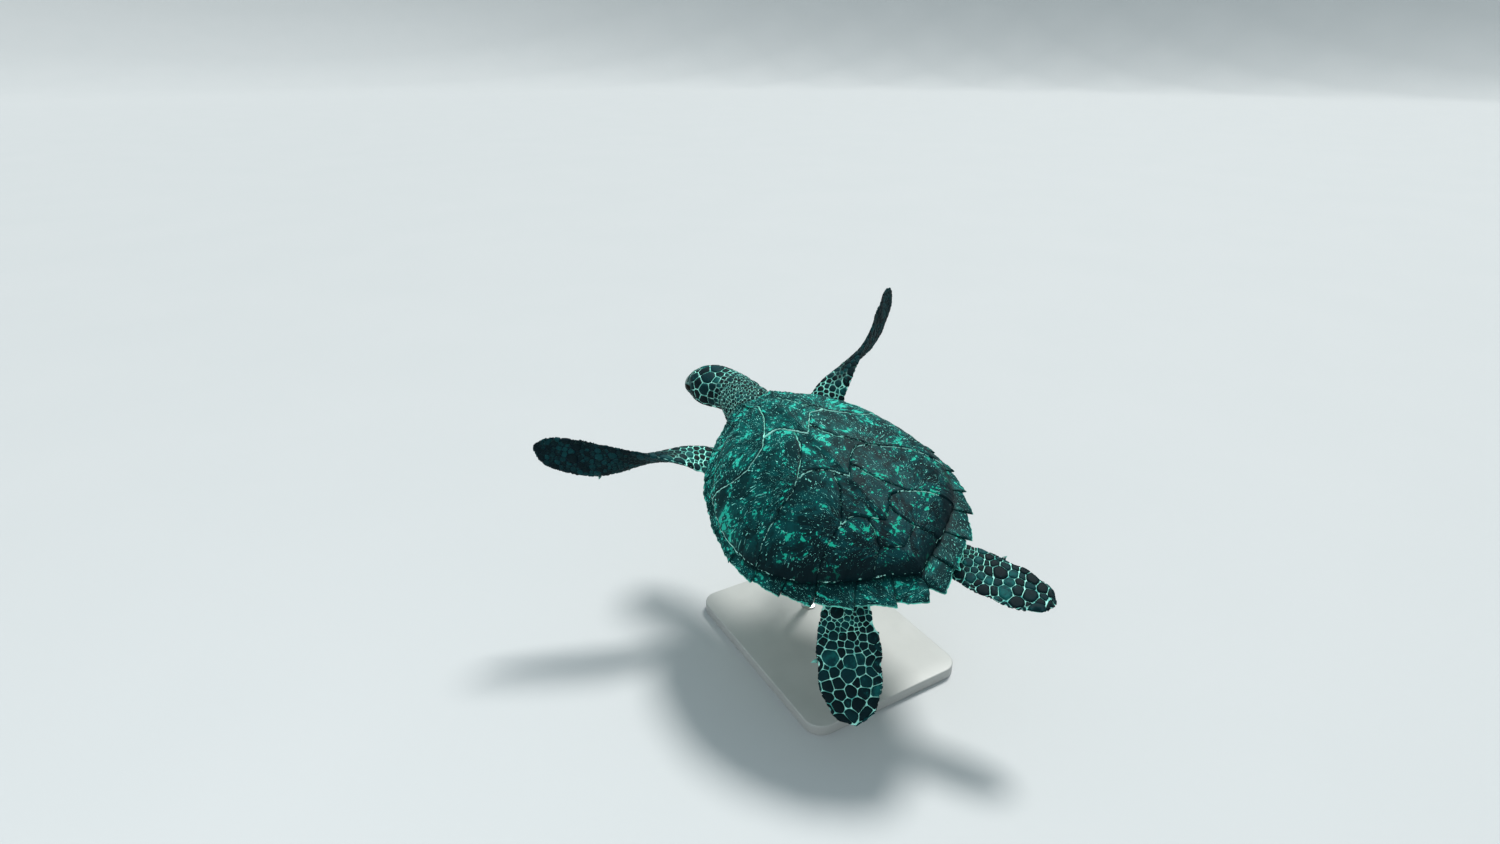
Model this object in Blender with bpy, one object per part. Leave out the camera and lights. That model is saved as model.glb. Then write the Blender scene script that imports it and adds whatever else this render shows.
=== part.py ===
"""A hawksbill sea turtle, life size, as a still museum model swimming on a plain display stand.

The turtle is drawn in its own frame: x to its left, y backwards from the front of the shell and
z up, with every length a share of the shell's straight length. The empty named turtle_frame tips
the finished animal nose up and left side down, and lifts it over the stand. The stand is drawn
upright: z is zero under its base, and the turtle heads along -Y.
"""

import math

import bmesh
import bpy
import numpy as np
from mathutils import Matrix, Vector

# Driving sizes, in metres and degrees
SHELL_LENGTH = 0.56
GAP = 0.0003
NOSE_UP = 9.2
BANK_LEFT = 13.8
HANG_POINT = (0.0, 0.45, 0.0)
HANG_HEIGHT = 0.34
BASE_WIDTH = 0.34
BASE_LENGTH = 0.44
BASE_THICK = 0.022
BASE_CORNER = 0.035
ROD_RADIUS = 0.008
ROD_SIDES = 20
ROD_PLACES = {"stand_rod_front": 0.33, "stand_rod_rear": 0.57}

# Shell plan. Row k ends marginal plate k: its corner on the rim, its corner on the gutter
MARGIN_ROWS = (
    ((0.070, -0.030), (0.038, 0.067)),
    ((0.140, 0.000), (0.134, 0.078)),
    ((0.243, 0.060), (0.216, 0.108)),
    ((0.325, 0.150), (0.290, 0.170)),
    ((0.366, 0.245), (0.345, 0.258)),
    ((0.396, 0.360), (0.376, 0.365)),
    ((0.412, 0.490), (0.385, 0.485)),
    ((0.394, 0.608), (0.364, 0.600)),
    ((0.352, 0.708), (0.318, 0.690)),
    ((0.296, 0.799), (0.256, 0.765)),
    ((0.210, 0.884), (0.163, 0.833)),
    ((0.105, 0.943), (0.070, 0.885)),
    ((0.027, 1.000), (0.000, 0.923)),
)
LAST_ROW = len(MARGIN_ROWS) - 1
FIRST_TOOTH = 4
TOOTH_DEPTH = 0.026
NOTCH_Y = 0.962
NOTCH_START = 0.7

# Shell heights along y
RIM_HEIGHT = (
    (-0.03, 0.122), (0.0, 0.090), (0.06, 0.044), (0.15, 0.015), (0.25, -0.003), (0.36, -0.014),
    (0.49, -0.017), (0.61, -0.008), (0.71, 0.0), (0.81, 0.010), (0.90, 0.024), (1.0, 0.020),
)
GUTTER_HEIGHT = (
    (0.066, 0.158), (0.08, 0.126), (0.11, 0.084), (0.2, 0.036), (0.35, 0.015), (0.5, 0.011),
    (0.65, 0.022), (0.78, 0.048), (0.88, 0.064), (0.93, 0.063),
)
RIDGE_HEIGHT = (
    (0.066, 0.168), (0.15, 0.190), (0.3, 0.202), (0.5, 0.195), (0.7, 0.157), (0.85, 0.108), (0.93, 0.069),
)
DOME_ACROSS = 2.2
DOME_POWER = 0.8
PLATE_THICK = 0.008
OVERLAP_LIFT = 0.007
SHELF_STEP = ((0.0, 0.002), (0.5, 0.003), (0.75, 0.010), (0.93, 0.014))
SHELF_INNER_THICK = 0.014
RIM_THICK = 0.006

# Seams between the large plates, left half: from the named corner through these plan points
SIDE_SEAM_ROWS = (3.95, 6.85, 8.95, 10.4)
CROWN_CORNERS = ((0.118, 0.262), (0.135, 0.492), (0.123, 0.703), (0.068, 0.815))
CROWN_TIPS = ((0.0, 0.346), (0.0, 0.576), (0.0, 0.757), (0.0, 0.850))
FLANKS = ((0.030, 0.308), (0.030, 0.538), (0.040, 0.725))
FLANK_BENDS = ((0.065, 0.262), (0.080, 0.492), (0.072, 0.698))
CROWN_SEAM_BENDS = ((0.062, 0.160), (0.060, 0.395), (0.068, 0.630), (0.048, 0.770))
SIDE_SEAM_BENDS = (
    ((0.165, 0.300), (0.250, 0.318)),
    ((0.180, 0.518), (0.280, 0.550)),
    ((0.163, 0.714), (0.225, 0.742)),
    ((0.095, 0.835),),
)

# Trunk and plastron, along y
TRUNK_WIDTH = (
    (0.115, 0.150), (0.14, 0.205), (0.17, 0.250), (0.22, 0.305), (0.35, 0.350), (0.5, 0.362),
    (0.6, 0.342), (0.7, 0.286), (0.78, 0.212), (0.85, 0.120), (0.895, 0.045),
)
PLASTRON_WIDTH = (
    (0.118, 0.070), (0.135, 0.130), (0.165, 0.180), (0.22, 0.220), (0.27, 0.260), (0.31, 0.316),
    (0.57, 0.316), (0.61, 0.262), (0.66, 0.200), (0.74, 0.140), (0.80, 0.100), (0.845, 0.055),
)
BELLY_HEIGHT = (
    (0.115, -0.090), (0.15, -0.112), (0.28, -0.135), (0.62, -0.135), (0.75, -0.118), (0.85, -0.085),
    (0.9, -0.055),
)
BELLY_EDGE_DROP = 0.062
BELLY_FLATNESS = 4
PLASTRON_THICK = 0.014
PLASTRON_CLEARANCE = 0.006
TRUNK_CLEARANCE = 0.011
CUT_CLEARANCE = 0.0017

# Neck and head. The head has its own frame: x left, y towards the beak, z up
NECK_SPINE = ((0.0, 0.150, -0.010), (0.002, 0.050, 0.012), (0.004, -0.070, 0.034), (0.008, -0.200, 0.052))
NECK_HALF_WIDTH = ((0.0, 0.100), (0.3, 0.108), (0.6, 0.102), (1.0, 0.085))
NECK_TOP = ((0.0, 0.082), (0.5, 0.076), (1.0, 0.061))
NECK_BELOW = ((0.0, 0.078), (0.5, 0.084), (1.0, 0.070))
HEAD_LENGTH = 0.235
HEAD_YAW = 27.0
HEAD_PITCH = -2.0
HEAD_HALF_WIDTH = (
    (0.0, 0.082), (0.2, 0.086), (0.38, 0.088), (0.55, 0.080), (0.7, 0.063), (0.82, 0.045),
    (0.92, 0.028), (1.0, 0.008),
)
HEAD_TOP = (
    (0.0, 0.061), (0.2, 0.068), (0.4, 0.070), (0.6, 0.062), (0.75, 0.046), (0.88, 0.022), (1.0, -0.020),
)
HEAD_MIDDLE = ((0.0, 0.0), (0.7, 0.0), (0.85, -0.010), (1.0, -0.027))
HEAD_BELOW = (
    (0.0, 0.069), (0.25, 0.065), (0.5, 0.058), (0.7, 0.050), (0.85, 0.044), (0.95, 0.040), (1.0, 0.034),
)
HEAD_SQUARENESS = 0.85
BEAK_START = 0.80
MOUTH_HEIGHT = -0.022
EYE_PLACE = 0.70
EYE_HEIGHT = 0.014
EYE_RADIUS = 0.022
EYE_SHOW = 0.006

# Flippers: spine points for the left side, then widths along the spine
FRONT_SPINE = (
    (0.175, 0.160, -0.042), (0.208, 0.100, -0.028), (0.245, 0.054, -0.008), (0.300, 0.020, 0.020),
    (0.360, 0.002, 0.048), (0.409, -0.018, 0.062), (0.464, -0.046, 0.069), (0.520, -0.067, 0.077),
    (0.575, -0.092, 0.087), (0.625, -0.122, 0.098), (0.674, -0.150, 0.118), (0.721, -0.181, 0.139),
    (0.775, -0.217, 0.174),
)
FRONT_CHORD = (
    (0.0, 0.100), (0.12, 0.142), (0.3, 0.124), (0.45, 0.112), (0.6, 0.130), (0.73, 0.150),
    (0.84, 0.144), (0.92, 0.122), (0.975, 0.086), (1.0, 0.040),
)
FRONT_THICK = (
    (0.0, 0.064), (0.2, 0.070), (0.32, 0.064), (0.45, 0.052), (0.6, 0.036), (0.83, 0.017), (1.0, 0.008),
)
FRONT_TWIST = {
    1: (
        (0.0, -22.0), (0.2, -15.0), (0.32, 5.0), (0.44, 38.0), (0.55, 64.0), (0.64, 80.0), (0.73, 87.0),
        (1.0, 90.0),
    ),
    -1: (
        (0.0, -30.0), (0.2, -20.0), (0.32, 0.0), (0.44, 32.0), (0.55, 56.0), (0.64, 69.0), (0.73, 75.0),
        (1.0, 77.0),
    ),
}
HIND_SPINES = {
    "left": (
        (0.140, 0.730, -0.048), (0.185, 0.805, -0.078), (0.245, 0.895, -0.135), (0.296, 0.972, -0.190),
        (0.340, 1.050, -0.245),
    ),
    "right": (
        (-0.140, 0.730, -0.048), (-0.175, 0.835, -0.060), (-0.222, 0.950, -0.074), (-0.272, 1.052, -0.086),
        (-0.318, 1.142, -0.097),
    ),
}
HIND_CHORD_WAY = {"left": (0.87, -0.47, 0.17), "right": (-0.87, -0.47, 0.0)}
HIND_CHORDS = {
    "left": (
        (0.0, 0.150), (0.2, 0.168), (0.4, 0.186), (0.62, 0.196), (0.8, 0.178), (0.92, 0.138),
        (0.98, 0.090), (1.0, 0.045),
    ),
    "right": (
        (0.0, 0.115), (0.2, 0.132), (0.4, 0.154), (0.62, 0.162), (0.8, 0.150), (0.92, 0.118),
        (0.98, 0.080), (1.0, 0.040),
    ),
}
HIND_THICK = ((0.0, 0.060), (0.25, 0.046), (0.5, 0.028), (0.75, 0.015), (1.0, 0.007))
TAIL_SPINE = ((0.0, 0.840, -0.020), (0.0, 0.900, -0.022), (0.0, 0.925, -0.022), (0.0, 0.950, -0.021))
TAIL_RADIUS = ((0.0, 0.030), (0.5, 0.020), (1.0, 0.006))
CLAW_LENGTH = 0.016
CLAW_RADIUS = 0.0055
FRONT_CLAWS = {"a": 0.71, "b": 0.57}
HIND_CLAWS = {"a": 0.60}


def smooth(knots):
    """A function of one number: a monotone cubic through the knots, level beyond the ends."""
    xs, ys = np.array(knots, float).T
    steps = np.diff(xs)
    slopes = np.diff(ys) / steps
    ends = np.zeros(len(xs))
    same_way = slopes[:-1] * slopes[1:] > 0
    left, right = 2 * steps[1:] + steps[:-1], steps[1:] + 2 * steps[:-1]
    with np.errstate(divide="ignore", invalid="ignore"):
        mean = (left + right) / (left / slopes[:-1] + right / slopes[1:])
    ends[1:-1] = np.where(same_way, mean, 0.0)
    ends[0], ends[-1] = slopes[0], slopes[-1]

    def value(x):
        x = np.clip(np.asarray(x, float), xs[0], xs[-1])
        k = np.clip(np.searchsorted(xs, x, "right") - 1, 0, len(steps) - 1)
        t = (x - xs[k]) / steps[k]
        return (
            ys[k] * (1 + 2 * t) * (1 - t) ** 2
            + ends[k] * steps[k] * t * (1 - t) ** 2
            + ys[k + 1] * t * t * (3 - 2 * t)
            + ends[k + 1] * steps[k] * t * t * (t - 1)
        )

    return value


def through(points):
    """A curve through the points, as a function of a number that is k at point k."""
    points = np.array(points, float)
    before, after = 2 * points[0] - points[1], 2 * points[-1] - points[-2]
    padded = np.vstack([before, points, after])

    def place(u):
        u = np.asarray(u, float)
        k = np.clip(np.floor(u).astype(int), 0, len(points) - 2)
        t = (u - k)[..., None]
        a, b, c, d = (padded[k + i] for i in range(4))
        square, cube = 2 * a - 5 * b + 4 * c - d, 3 * b - a - 3 * c + d
        return 0.5 * (2 * b + (c - a) * t + square * t**2 + cube * t**3)

    return place


def seam(*points, count=5):
    """Count points along a smooth plan curve through the given ones."""
    return through(points)(np.linspace(0, len(points) - 1, count))


def chain(*lines):
    """Lines joined end to end into one closed outline, without the points that two lines share."""
    return np.vstack([line[:-1] for line in lines])


rim_row = through([row[0] for row in MARGIN_ROWS])
gutter_row = through([row[1] for row in MARGIN_ROWS])
rim_height, gutter_height, ridge_height = smooth(RIM_HEIGHT), smooth(GUTTER_HEIGHT), smooth(RIDGE_HEIGHT)
shelf_step, belly_height, trunk_width = smooth(SHELF_STEP), smooth(BELLY_HEIGHT), smooth(TRUNK_WIDTH)
GUTTER_LINE = gutter_row(np.linspace(0, LAST_ROW, 40 * LAST_ROW))


def gutter_width(y):
    """Half the width inside the gutter at y."""
    return np.interp(y, GUTTER_LINE[:, 1], GUTTER_LINE[:, 0], right=0.0)


def dome(x, y):
    """Height of the dome of large plates: full on the ridge, falling to the gutter's height at the gutter."""
    across = np.clip(np.abs(x) / np.maximum(gutter_width(y), 1e-6), 0, 1)
    return gutter_height(y) + (ridge_height(y) - gutter_height(y)) * (1 - across**DOME_ACROSS) ** DOME_POWER


def belly(x, y):
    """Height of the underside: flat along the middle, rising to the trunk's side edge."""
    across = np.clip(np.abs(x) / trunk_width(y), 0, 1)
    edge = gutter_height(y) - BELLY_EDGE_DROP
    return belly_height(y) + (edge - belly_height(y)) * across**BELLY_FLATNESS


def finish(name, colour, roughness, metallic=0.0):
    """A Principled material of one colour."""
    material = bpy.data.materials.new(name)
    material.use_nodes = True
    shader = material.node_tree.nodes["Principled BSDF"]
    shader.inputs["Base Color"].default_value = (*colour, 1.0)
    shader.inputs["Roughness"].default_value = roughness
    shader.inputs["Metallic"].default_value = metallic
    return material


def solid(name, points, faces, material, frame, scale=SHELL_LENGTH):
    """A closed mesh object with its faces turned outwards."""
    mesh = bpy.data.meshes.new(name)
    places = np.asarray(points, float) * scale
    mesh.from_pydata(places.tolist(), [], [list(map(int, face)) for face in faces])
    work = bmesh.new()
    work.from_mesh(mesh)
    bmesh.ops.remove_doubles(work, verts=work.verts, dist=1e-6)
    bmesh.ops.recalc_face_normals(work, faces=work.faces)
    work.to_mesh(mesh)
    work.free()
    mesh.materials.append(material)
    mesh.shade_smooth()
    mesh.set_sharp_from_angle(angle=math.radians(35))
    made = bpy.data.objects.new(name, mesh)
    made.parent = frame
    bpy.context.scene.collection.objects.link(made)
    return made


def strip_faces(low, high):
    """Quads between two closed rings of point numbers."""
    return [(a, b, c, d) for a, b, c, d in zip(low, np.roll(low, -1), np.roll(high, -1), high)]


def fan_faces(ring, centre):
    return [(a, b, centre) for a, b in zip(ring, np.roll(ring, -1))]


def loft(rings):
    """Points and faces of closed rings joined in order, each end closed by a fan."""
    rings = np.asarray(rings, float)
    count, size = rings.shape[:2]
    numbers = np.arange(count * size).reshape(count, size)
    points = np.vstack([rings.reshape(-1, 3), rings[0].mean(0), rings[-1].mean(0)])
    faces = [face for low, high in zip(numbers[:-1], numbers[1:]) for face in strip_faces(low, high)]
    faces += fan_faces(numbers[0], count * size) + fan_faces(numbers[-1], count * size + 1)
    return points, faces


def plate(outline, top, bottom, rings=2):
    """A closed plate: rings shrunk from the outline, under a top surface and over a bottom, and a wall."""
    middle = outline.mean(0)
    shares = np.arange(1, rings + 1) / rings
    plan = middle + shares[:, None, None] * (outline - middle)
    count = len(outline)
    points, faces = [], []
    for side, surface in enumerate((top, bottom)):
        start = side * (rings * count + 1)
        flat = np.vstack([plan.reshape(-1, 2), middle])
        points.append(np.column_stack([flat, surface(flat[:, 0], flat[:, 1])]))
        numbers = start + np.arange(rings * count).reshape(rings, count)
        faces += fan_faces(numbers[0], start + rings * count)
        for low, high in zip(numbers[:-1], numbers[1:]):
            faces += strip_faces(low, high)
    wall = np.arange(count) + (rings - 1) * count
    faces += strip_faces(wall, wall + rings * count + 1)
    return np.vstack(points), faces


def patch(top, bottom):
    """A closed block between two grids of points that face each other."""
    rows, columns = top.shape[:2]
    numbers = np.arange(rows * columns).reshape(rows, columns)
    points = np.vstack([top.reshape(-1, 3), bottom.reshape(-1, 3)])
    corners = [numbers[:-1, :-1], numbers[1:, :-1], numbers[1:, 1:], numbers[:-1, 1:]]
    quads = np.stack(corners, -1).reshape(-1, 4)
    border = np.concatenate([numbers[0, :-1], numbers[:-1, -1], numbers[-1, :0:-1], numbers[:0:-1, 0]])
    wall = strip_faces(border, border + rows * columns)
    return points, quads.tolist() + (quads + rows * columns).tolist() + wall


def inset(outline, distance):
    """A closed plan outline drawn in by a distance."""
    edge = np.roll(outline, -1, 0) - outline
    normal = np.column_stack([-edge[:, 1], edge[:, 0]]) / np.linalg.norm(edge, axis=1)[:, None]
    x, y = outline.T
    if (x * np.roll(y, -1) - np.roll(x, -1) * y).sum() < 0:
        normal = -normal
    corner = normal + np.roll(normal, 1, 0)
    return outline + distance * corner * 2 / (corner**2).sum(1)[:, None]


def mirrored(line):
    """The same plan line on the right side, walked the other way."""
    return line[::-1] * (-1, 1)


def slab(width, ends, bottom, top, grow=0.0, along=14, across=12):
    """A closed slab between two height functions over a plan whose half width is a function of y.

    Grow moves every face outwards by that distance.
    """
    y, share = np.meshgrid(np.linspace(*ends, along + 1), np.linspace(-1, 1, across + 1), indexing="ij")
    x = share * width(y)
    high, low = top(x, y) + grow, bottom(x, y) - grow
    x = x + grow * share
    y[0] -= grow
    y[-1] += grow
    return patch(np.stack([x, y, high], -1), np.stack([x, y, low], -1))


def crown_outlines():
    """Plan outlines of the five vertebral and the four left costal plates."""
    corners, tips, flanks = CROWN_CORNERS, CROWN_TIPS, FLANKS
    side_ends = [gutter_row(row) for row in SIDE_SEAM_ROWS]
    front_corner = gutter_row(0)
    crown_seams = [seam(front_corner, CROWN_SEAM_BENDS[0], corners[0])]
    crown_seams += [seam(flanks[k], CROWN_SEAM_BENDS[k + 1], corners[k + 1]) for k in range(3)]
    outer_rears = [seam(corners[k], FLANK_BENDS[k], flanks[k], count=4) for k in range(3)]
    inner_rears = [seam(flanks[k], tips[k], count=3) for k in range(3)]
    side_seams = [seam(corners[k], *SIDE_SEAM_BENDS[k], side_ends[k]) for k in range(4)]
    last_rear = seam(corners[3], tips[3], count=3)
    rows = (0, *SIDE_SEAM_ROWS)
    sides = [gutter_row(np.linspace(a, b, 7 if b - a > 2 else 4)) for a, b in zip(rows[:-1], rows[1:])]
    rear = gutter_row(np.linspace(SIDE_SEAM_ROWS[3], LAST_ROW, 4))
    front = np.vstack([front_corner, (0.0, front_corner[1])])

    halves = [
        [front[::-1], crown_seams[0], outer_rears[0], inner_rears[0]],
        [inner_rears[0][::-1], crown_seams[1], outer_rears[1], inner_rears[1]],
        [inner_rears[1][::-1], crown_seams[2], outer_rears[2], inner_rears[2]],
        [inner_rears[2][::-1], crown_seams[3], last_rear],
        [last_rear[::-1], side_seams[3], rear],
    ]
    vertebrals = [chain(*half, *[mirrored(line) for line in half[::-1]]) for half in halves]
    costals = [
        chain(crown_seams[0], side_seams[0], sides[0][::-1]),
        chain(side_seams[0][::-1], outer_rears[0], crown_seams[1], side_seams[1], sides[1][::-1]),
        chain(side_seams[1][::-1], outer_rears[1], crown_seams[2], side_seams[2], sides[2][::-1]),
        chain(side_seams[2][::-1], outer_rears[2], crown_seams[3], side_seams[3], sides[3][::-1]),
    ]
    return vertebrals, costals


def large_plate(name, outline, material, frame):
    """One vertebral or costal plate, its rear edge lifted over the plate behind."""
    front, rear = outline[:, 1].min(), outline[:, 1].max()

    def top(x, y):
        return dome(x, y) + OVERLAP_LIFT * (y - front) / (rear - front)

    def bottom(x, y):
        return dome(x, y) - PLATE_THICK

    return solid(name, *plate(inset(outline, GAP / 2 / SHELL_LENGTH), top, bottom), material, frame)


def margin_edges(k, u):
    """Gutter and rim plan points of left marginal plate k, for u from 0 at its front to 1 at its rear tip."""
    gutter, rim = gutter_row(k - 1 + u), rim_row(k - 1 + u)
    if k == LAST_ROW:
        tip, notch = np.array(MARGIN_ROWS[-1][0]), np.array((0.0, NOTCH_Y))
        rim = rim_row(k - 1 + np.minimum(u / NOTCH_START, 1))
        back = np.clip((u - NOTCH_START) / (1 - NOTCH_START), 0, 1)[:, None]
        return gutter, rim + back * (notch - tip)
    corner = np.array(MARGIN_ROWS[k])
    outward = (corner[0] - corner[1]) / np.linalg.norm(corner[0] - corner[1])
    depth = TOOTH_DEPTH * max(k - FIRST_TOOTH, 0) / (LAST_ROW - FIRST_TOOTH)
    return gutter, rim + depth * (u**2)[:, None] * outward


def margin_block(gutter, rim, lift):
    """A wedge from the gutter out to the thin rim, for matching rows of plan points on each."""
    shares = np.linspace(0, 1, 3)[None, :, None]
    plan = gutter[:, None] * (1 - shares) + rim[:, None] * shares
    share = shares[..., 0]
    inner = gutter_height(gutter[:, 1]) - shelf_step(gutter[:, 1])
    outer = rim_height(rim[:, 1])
    top = inner[:, None] * (1 - share) + (outer + lift)[:, None] * share
    bottom = (inner - SHELF_INNER_THICK)[:, None] * (1 - share) + (outer - RIM_THICK)[:, None] * share
    return np.dstack([plan, top]), np.dstack([plan, bottom])


def shift(line, towards, distance):
    """Each point of a plan line moved a distance towards its partner."""
    way = towards - line
    return line + distance * way / np.linalg.norm(way, axis=1)[:, None]


def make_margins(material, frame):
    """The nuchal plate at the front and twelve marginal plates down each side."""
    half_gap = GAP / SHELL_LENGTH
    ends = 0.004
    for k in range(1, LAST_ROW + 1):
        u = np.linspace(ends, 1 - ends, 6)
        gutter, rim = margin_edges(k, u)
        gutter = shift(gutter, rim, half_gap)
        top, bottom = margin_block(gutter, rim, OVERLAP_LIFT / 2 * u**2)
        for side, way in (("left", 1), ("right", -1)):
            block = patch(top * (way, 1, 1), bottom * (way, 1, 1))
            solid(f"marginal_{side}_{k:02d}", *block, material, frame)
    rim_corner, gutter_corner = np.array(MARGIN_ROWS[0])
    across = np.linspace(-1, 1, 6)[:, None] * (1 - ends)
    rim = np.hstack([across * rim_corner[0], np.full_like(across, rim_corner[1])])
    gutter = np.hstack([across * gutter_corner[0], np.full_like(across, gutter_corner[1])])
    gutter = shift(gutter, rim, half_gap)
    solid("nuchal", *patch(*margin_block(gutter, rim, np.zeros(len(rim)))), material, frame)


def make_shell(material, frame):
    """The large plates of the dome, then the plates round its rim."""
    vertebrals, costals = crown_outlines()
    for k, outline in enumerate(vertebrals, 1):
        large_plate(f"vertebral_{k}", outline, material, frame)
    for k, outline in enumerate(costals, 1):
        large_plate(f"costal_left_{k}", outline, material, frame)
        large_plate(f"costal_right_{k}", mirrored(outline), material, frame)
    make_margins(material, frame)


def trunk_shape(grow=0.0):
    """The trunk between the shell and the plastron, every face moved out by grow."""

    def top(x, y):
        across = np.clip((np.abs(x) / trunk_width(y) - 0.75) / 0.25, 0, 1)
        return dome(x, y) - PLATE_THICK - TRUNK_CLEARANCE - SHELF_INNER_THICK * across**2

    def bottom(x, y):
        return belly(x, y) + PLASTRON_THICK

    return slab(trunk_width, (TRUNK_WIDTH[0][0], TRUNK_WIDTH[-1][0]), bottom, top, grow)


def make_plastron(material, frame):
    """The belly plate, standing proud of the skin round it."""

    def top(x, y):
        return belly(x, y) + PLASTRON_THICK - PLASTRON_CLEARANCE

    ends = (PLASTRON_WIDTH[0][0], PLASTRON_WIDTH[-1][0])
    return solid("plastron", *slab(smooth(PLASTRON_WIDTH), ends, belly, top, across=10), material, frame)


def unit(vector):
    return vector / np.linalg.norm(vector, axis=-1, keepdims=True)


def rounded(size, squareness=1.0):
    """Cosine and sine round a ring, pushed towards a square as squareness falls below one."""
    turn = np.linspace(0, 2 * math.pi, size, endpoint=False)
    cosine, sine = np.cos(turn), np.sin(turn)
    return np.sign(cosine) * np.abs(cosine) ** squareness, np.sign(sine) * np.abs(sine) ** squareness


def head_frame():
    """The head's origin and its left, forward and up directions."""
    yaw, pitch = math.radians(HEAD_YAW), math.radians(HEAD_PITCH)
    forward = np.array([math.sin(yaw) * math.cos(pitch), -math.cos(yaw) * math.cos(pitch), math.sin(pitch)])
    left = unit(np.cross((0, 0, 1), -forward))
    return np.array(NECK_SPINE[-1]), left, forward, np.cross(forward, -left)


def head_rings(shares, size=20):
    """Rings round the head at shares of its length."""
    origin, left, forward, up = head_frame()
    cosine, sine = rounded(size, HEAD_SQUARENESS)
    width, middle = smooth(HEAD_HALF_WIDTH), smooth(HEAD_MIDDLE)(shares)
    top, below = smooth(HEAD_TOP)(shares) - middle, smooth(HEAD_BELOW)(shares) + middle
    rise = middle[:, None] + np.where(sine > 0, top[:, None], below[:, None]) * sine
    side = width(shares)[:, None] * cosine
    return (
        origin
        + (shares * HEAD_LENGTH)[:, None, None] * forward
        + side[..., None] * left
        + rise[..., None] * up
    )


def keep_side(made, point, outward, scale=SHELL_LENGTH):
    """Cuts a mesh object by a plane, keeps what lies behind it and closes the cut."""
    work = bmesh.new()
    work.from_mesh(made.data)
    cut = bmesh.ops.bisect_plane(
        work,
        geom=work.verts[:] + work.edges[:] + work.faces[:],
        plane_co=Vector(np.asarray(point) * scale),
        plane_no=Vector(outward),
        clear_outer=True,
    )
    rim = [edge for edge in cut["geom_cut"] if isinstance(edge, bmesh.types.BMEdge)]
    bmesh.ops.triangle_fill(work, edges=rim, use_beauty=True)
    bmesh.ops.recalc_face_normals(work, faces=work.faces)
    work.to_mesh(made.data)
    work.free()
    return made


def cut_away(made, cutter):
    """Leaves what lies outside the cutter, by a live Boolean."""
    modifier = made.modifiers.new("part from " + cutter.name, "BOOLEAN")
    modifier.operation = "DIFFERENCE"
    modifier.object = cutter
    return made


def as_cutter(made):
    made.hide_render = True
    made.display_type = "WIRE"
    return made


def make_head(skin, horn, glass, frame):
    """Head, the two halves of the beak and the eyes."""
    origin, left, forward, up = head_frame()
    shares = np.array([0.002, 0.12, 0.25, 0.38, 0.5, 0.6, 0.7, 0.78, 0.85, 0.91, 0.96, 1.0])
    whole = loft(head_rings(shares))
    beak_face = origin + BEAK_START * HEAD_LENGTH * forward
    mouth = origin + MOUTH_HEIGHT * up
    step = GAP / SHELL_LENGTH / 2
    head = keep_side(solid("head", *whole, skin, frame), beak_face - step * forward, forward)
    for name, way in (("beak_upper", -1), ("beak_lower", 1)):
        beak = keep_side(solid(name, *whole, horn, frame), beak_face + step * forward, -forward)
        keep_side(beak, mouth - way * step * up, way * up)
    half_width = smooth(HEAD_HALF_WIDTH)(EYE_PLACE)
    for side, way in (("left", 1), ("right", -1)):
        centre = (
            origin
            + EYE_PLACE * HEAD_LENGTH * forward
            + way * (half_width - EYE_RADIUS + EYE_SHOW) * left
            + EYE_HEIGHT * up
        )
        ball = sphere(f"eye_{side}", centre, EYE_RADIUS, glass, frame)
        socket = as_cutter(sphere(f"socket_{side}", centre, EYE_RADIUS + 2 * step, glass, frame))
        cut_away(head, socket)
        ball.data.shade_smooth()


def sphere(name, centre, radius, material, frame):
    """A ball of rings between two poles."""
    tilt = np.linspace(0, math.pi, 9)[1:-1]
    turn = np.linspace(0, 2 * math.pi, 12, endpoint=False)
    rings = np.stack(
        [
            np.sin(tilt)[:, None] * np.cos(turn),
            np.sin(tilt)[:, None] * np.sin(turn),
            np.broadcast_to(np.cos(tilt)[:, None], (len(tilt), len(turn))),
        ],
        -1,
    )
    points, faces = loft(centre + radius * rings)
    points[-2:] = centre + radius * np.array([(0, 0, 1), (0, 0, -1)])
    return solid(name, points, faces, material, frame)


def along_spine(spine, shares):
    """Points and unit directions of a smooth spine at shares of its length."""
    line = through(spine)(np.linspace(0, len(spine) - 1, 40 * (len(spine) - 1) + 1))
    reach = np.concatenate([[0], np.cumsum(np.linalg.norm(np.diff(line, axis=0), axis=1))])
    ways = unit(np.gradient(line, axis=0))
    at = shares * reach[-1]
    points = np.column_stack([np.interp(at, reach, line[:, k]) for k in range(3)])
    return points, unit(np.column_stack([np.interp(at, reach, ways[:, k]) for k in range(3)]))


def make_neck(material, frame, cutter):
    """The neck, round in section, from inside the trunk to the back of the head."""
    shares = np.linspace(0, 1, 8)
    points, ways = along_spine(NECK_SPINE, shares)
    _, _, forward, _ = head_frame()
    blend = shares[:, None] ** 2
    ways = unit((1 - blend) * ways + blend * forward)
    left = unit(np.cross((0, 0, 1), -ways))
    up = np.cross(ways, -left)
    cosine, sine = rounded(20, HEAD_SQUARENESS)
    top, below, width = smooth(NECK_TOP), smooth(NECK_BELOW), smooth(NECK_HALF_WIDTH)
    rise = np.where(sine > 0, top(shares)[:, None], below(shares)[:, None]) * sine
    side = width(shares)[:, None] * cosine
    rings = points[:, None] + side[..., None] * left[:, None] + rise[..., None] * up[:, None]
    return cut_away(solid("neck", *loft(rings), material, frame), cutter)


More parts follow.
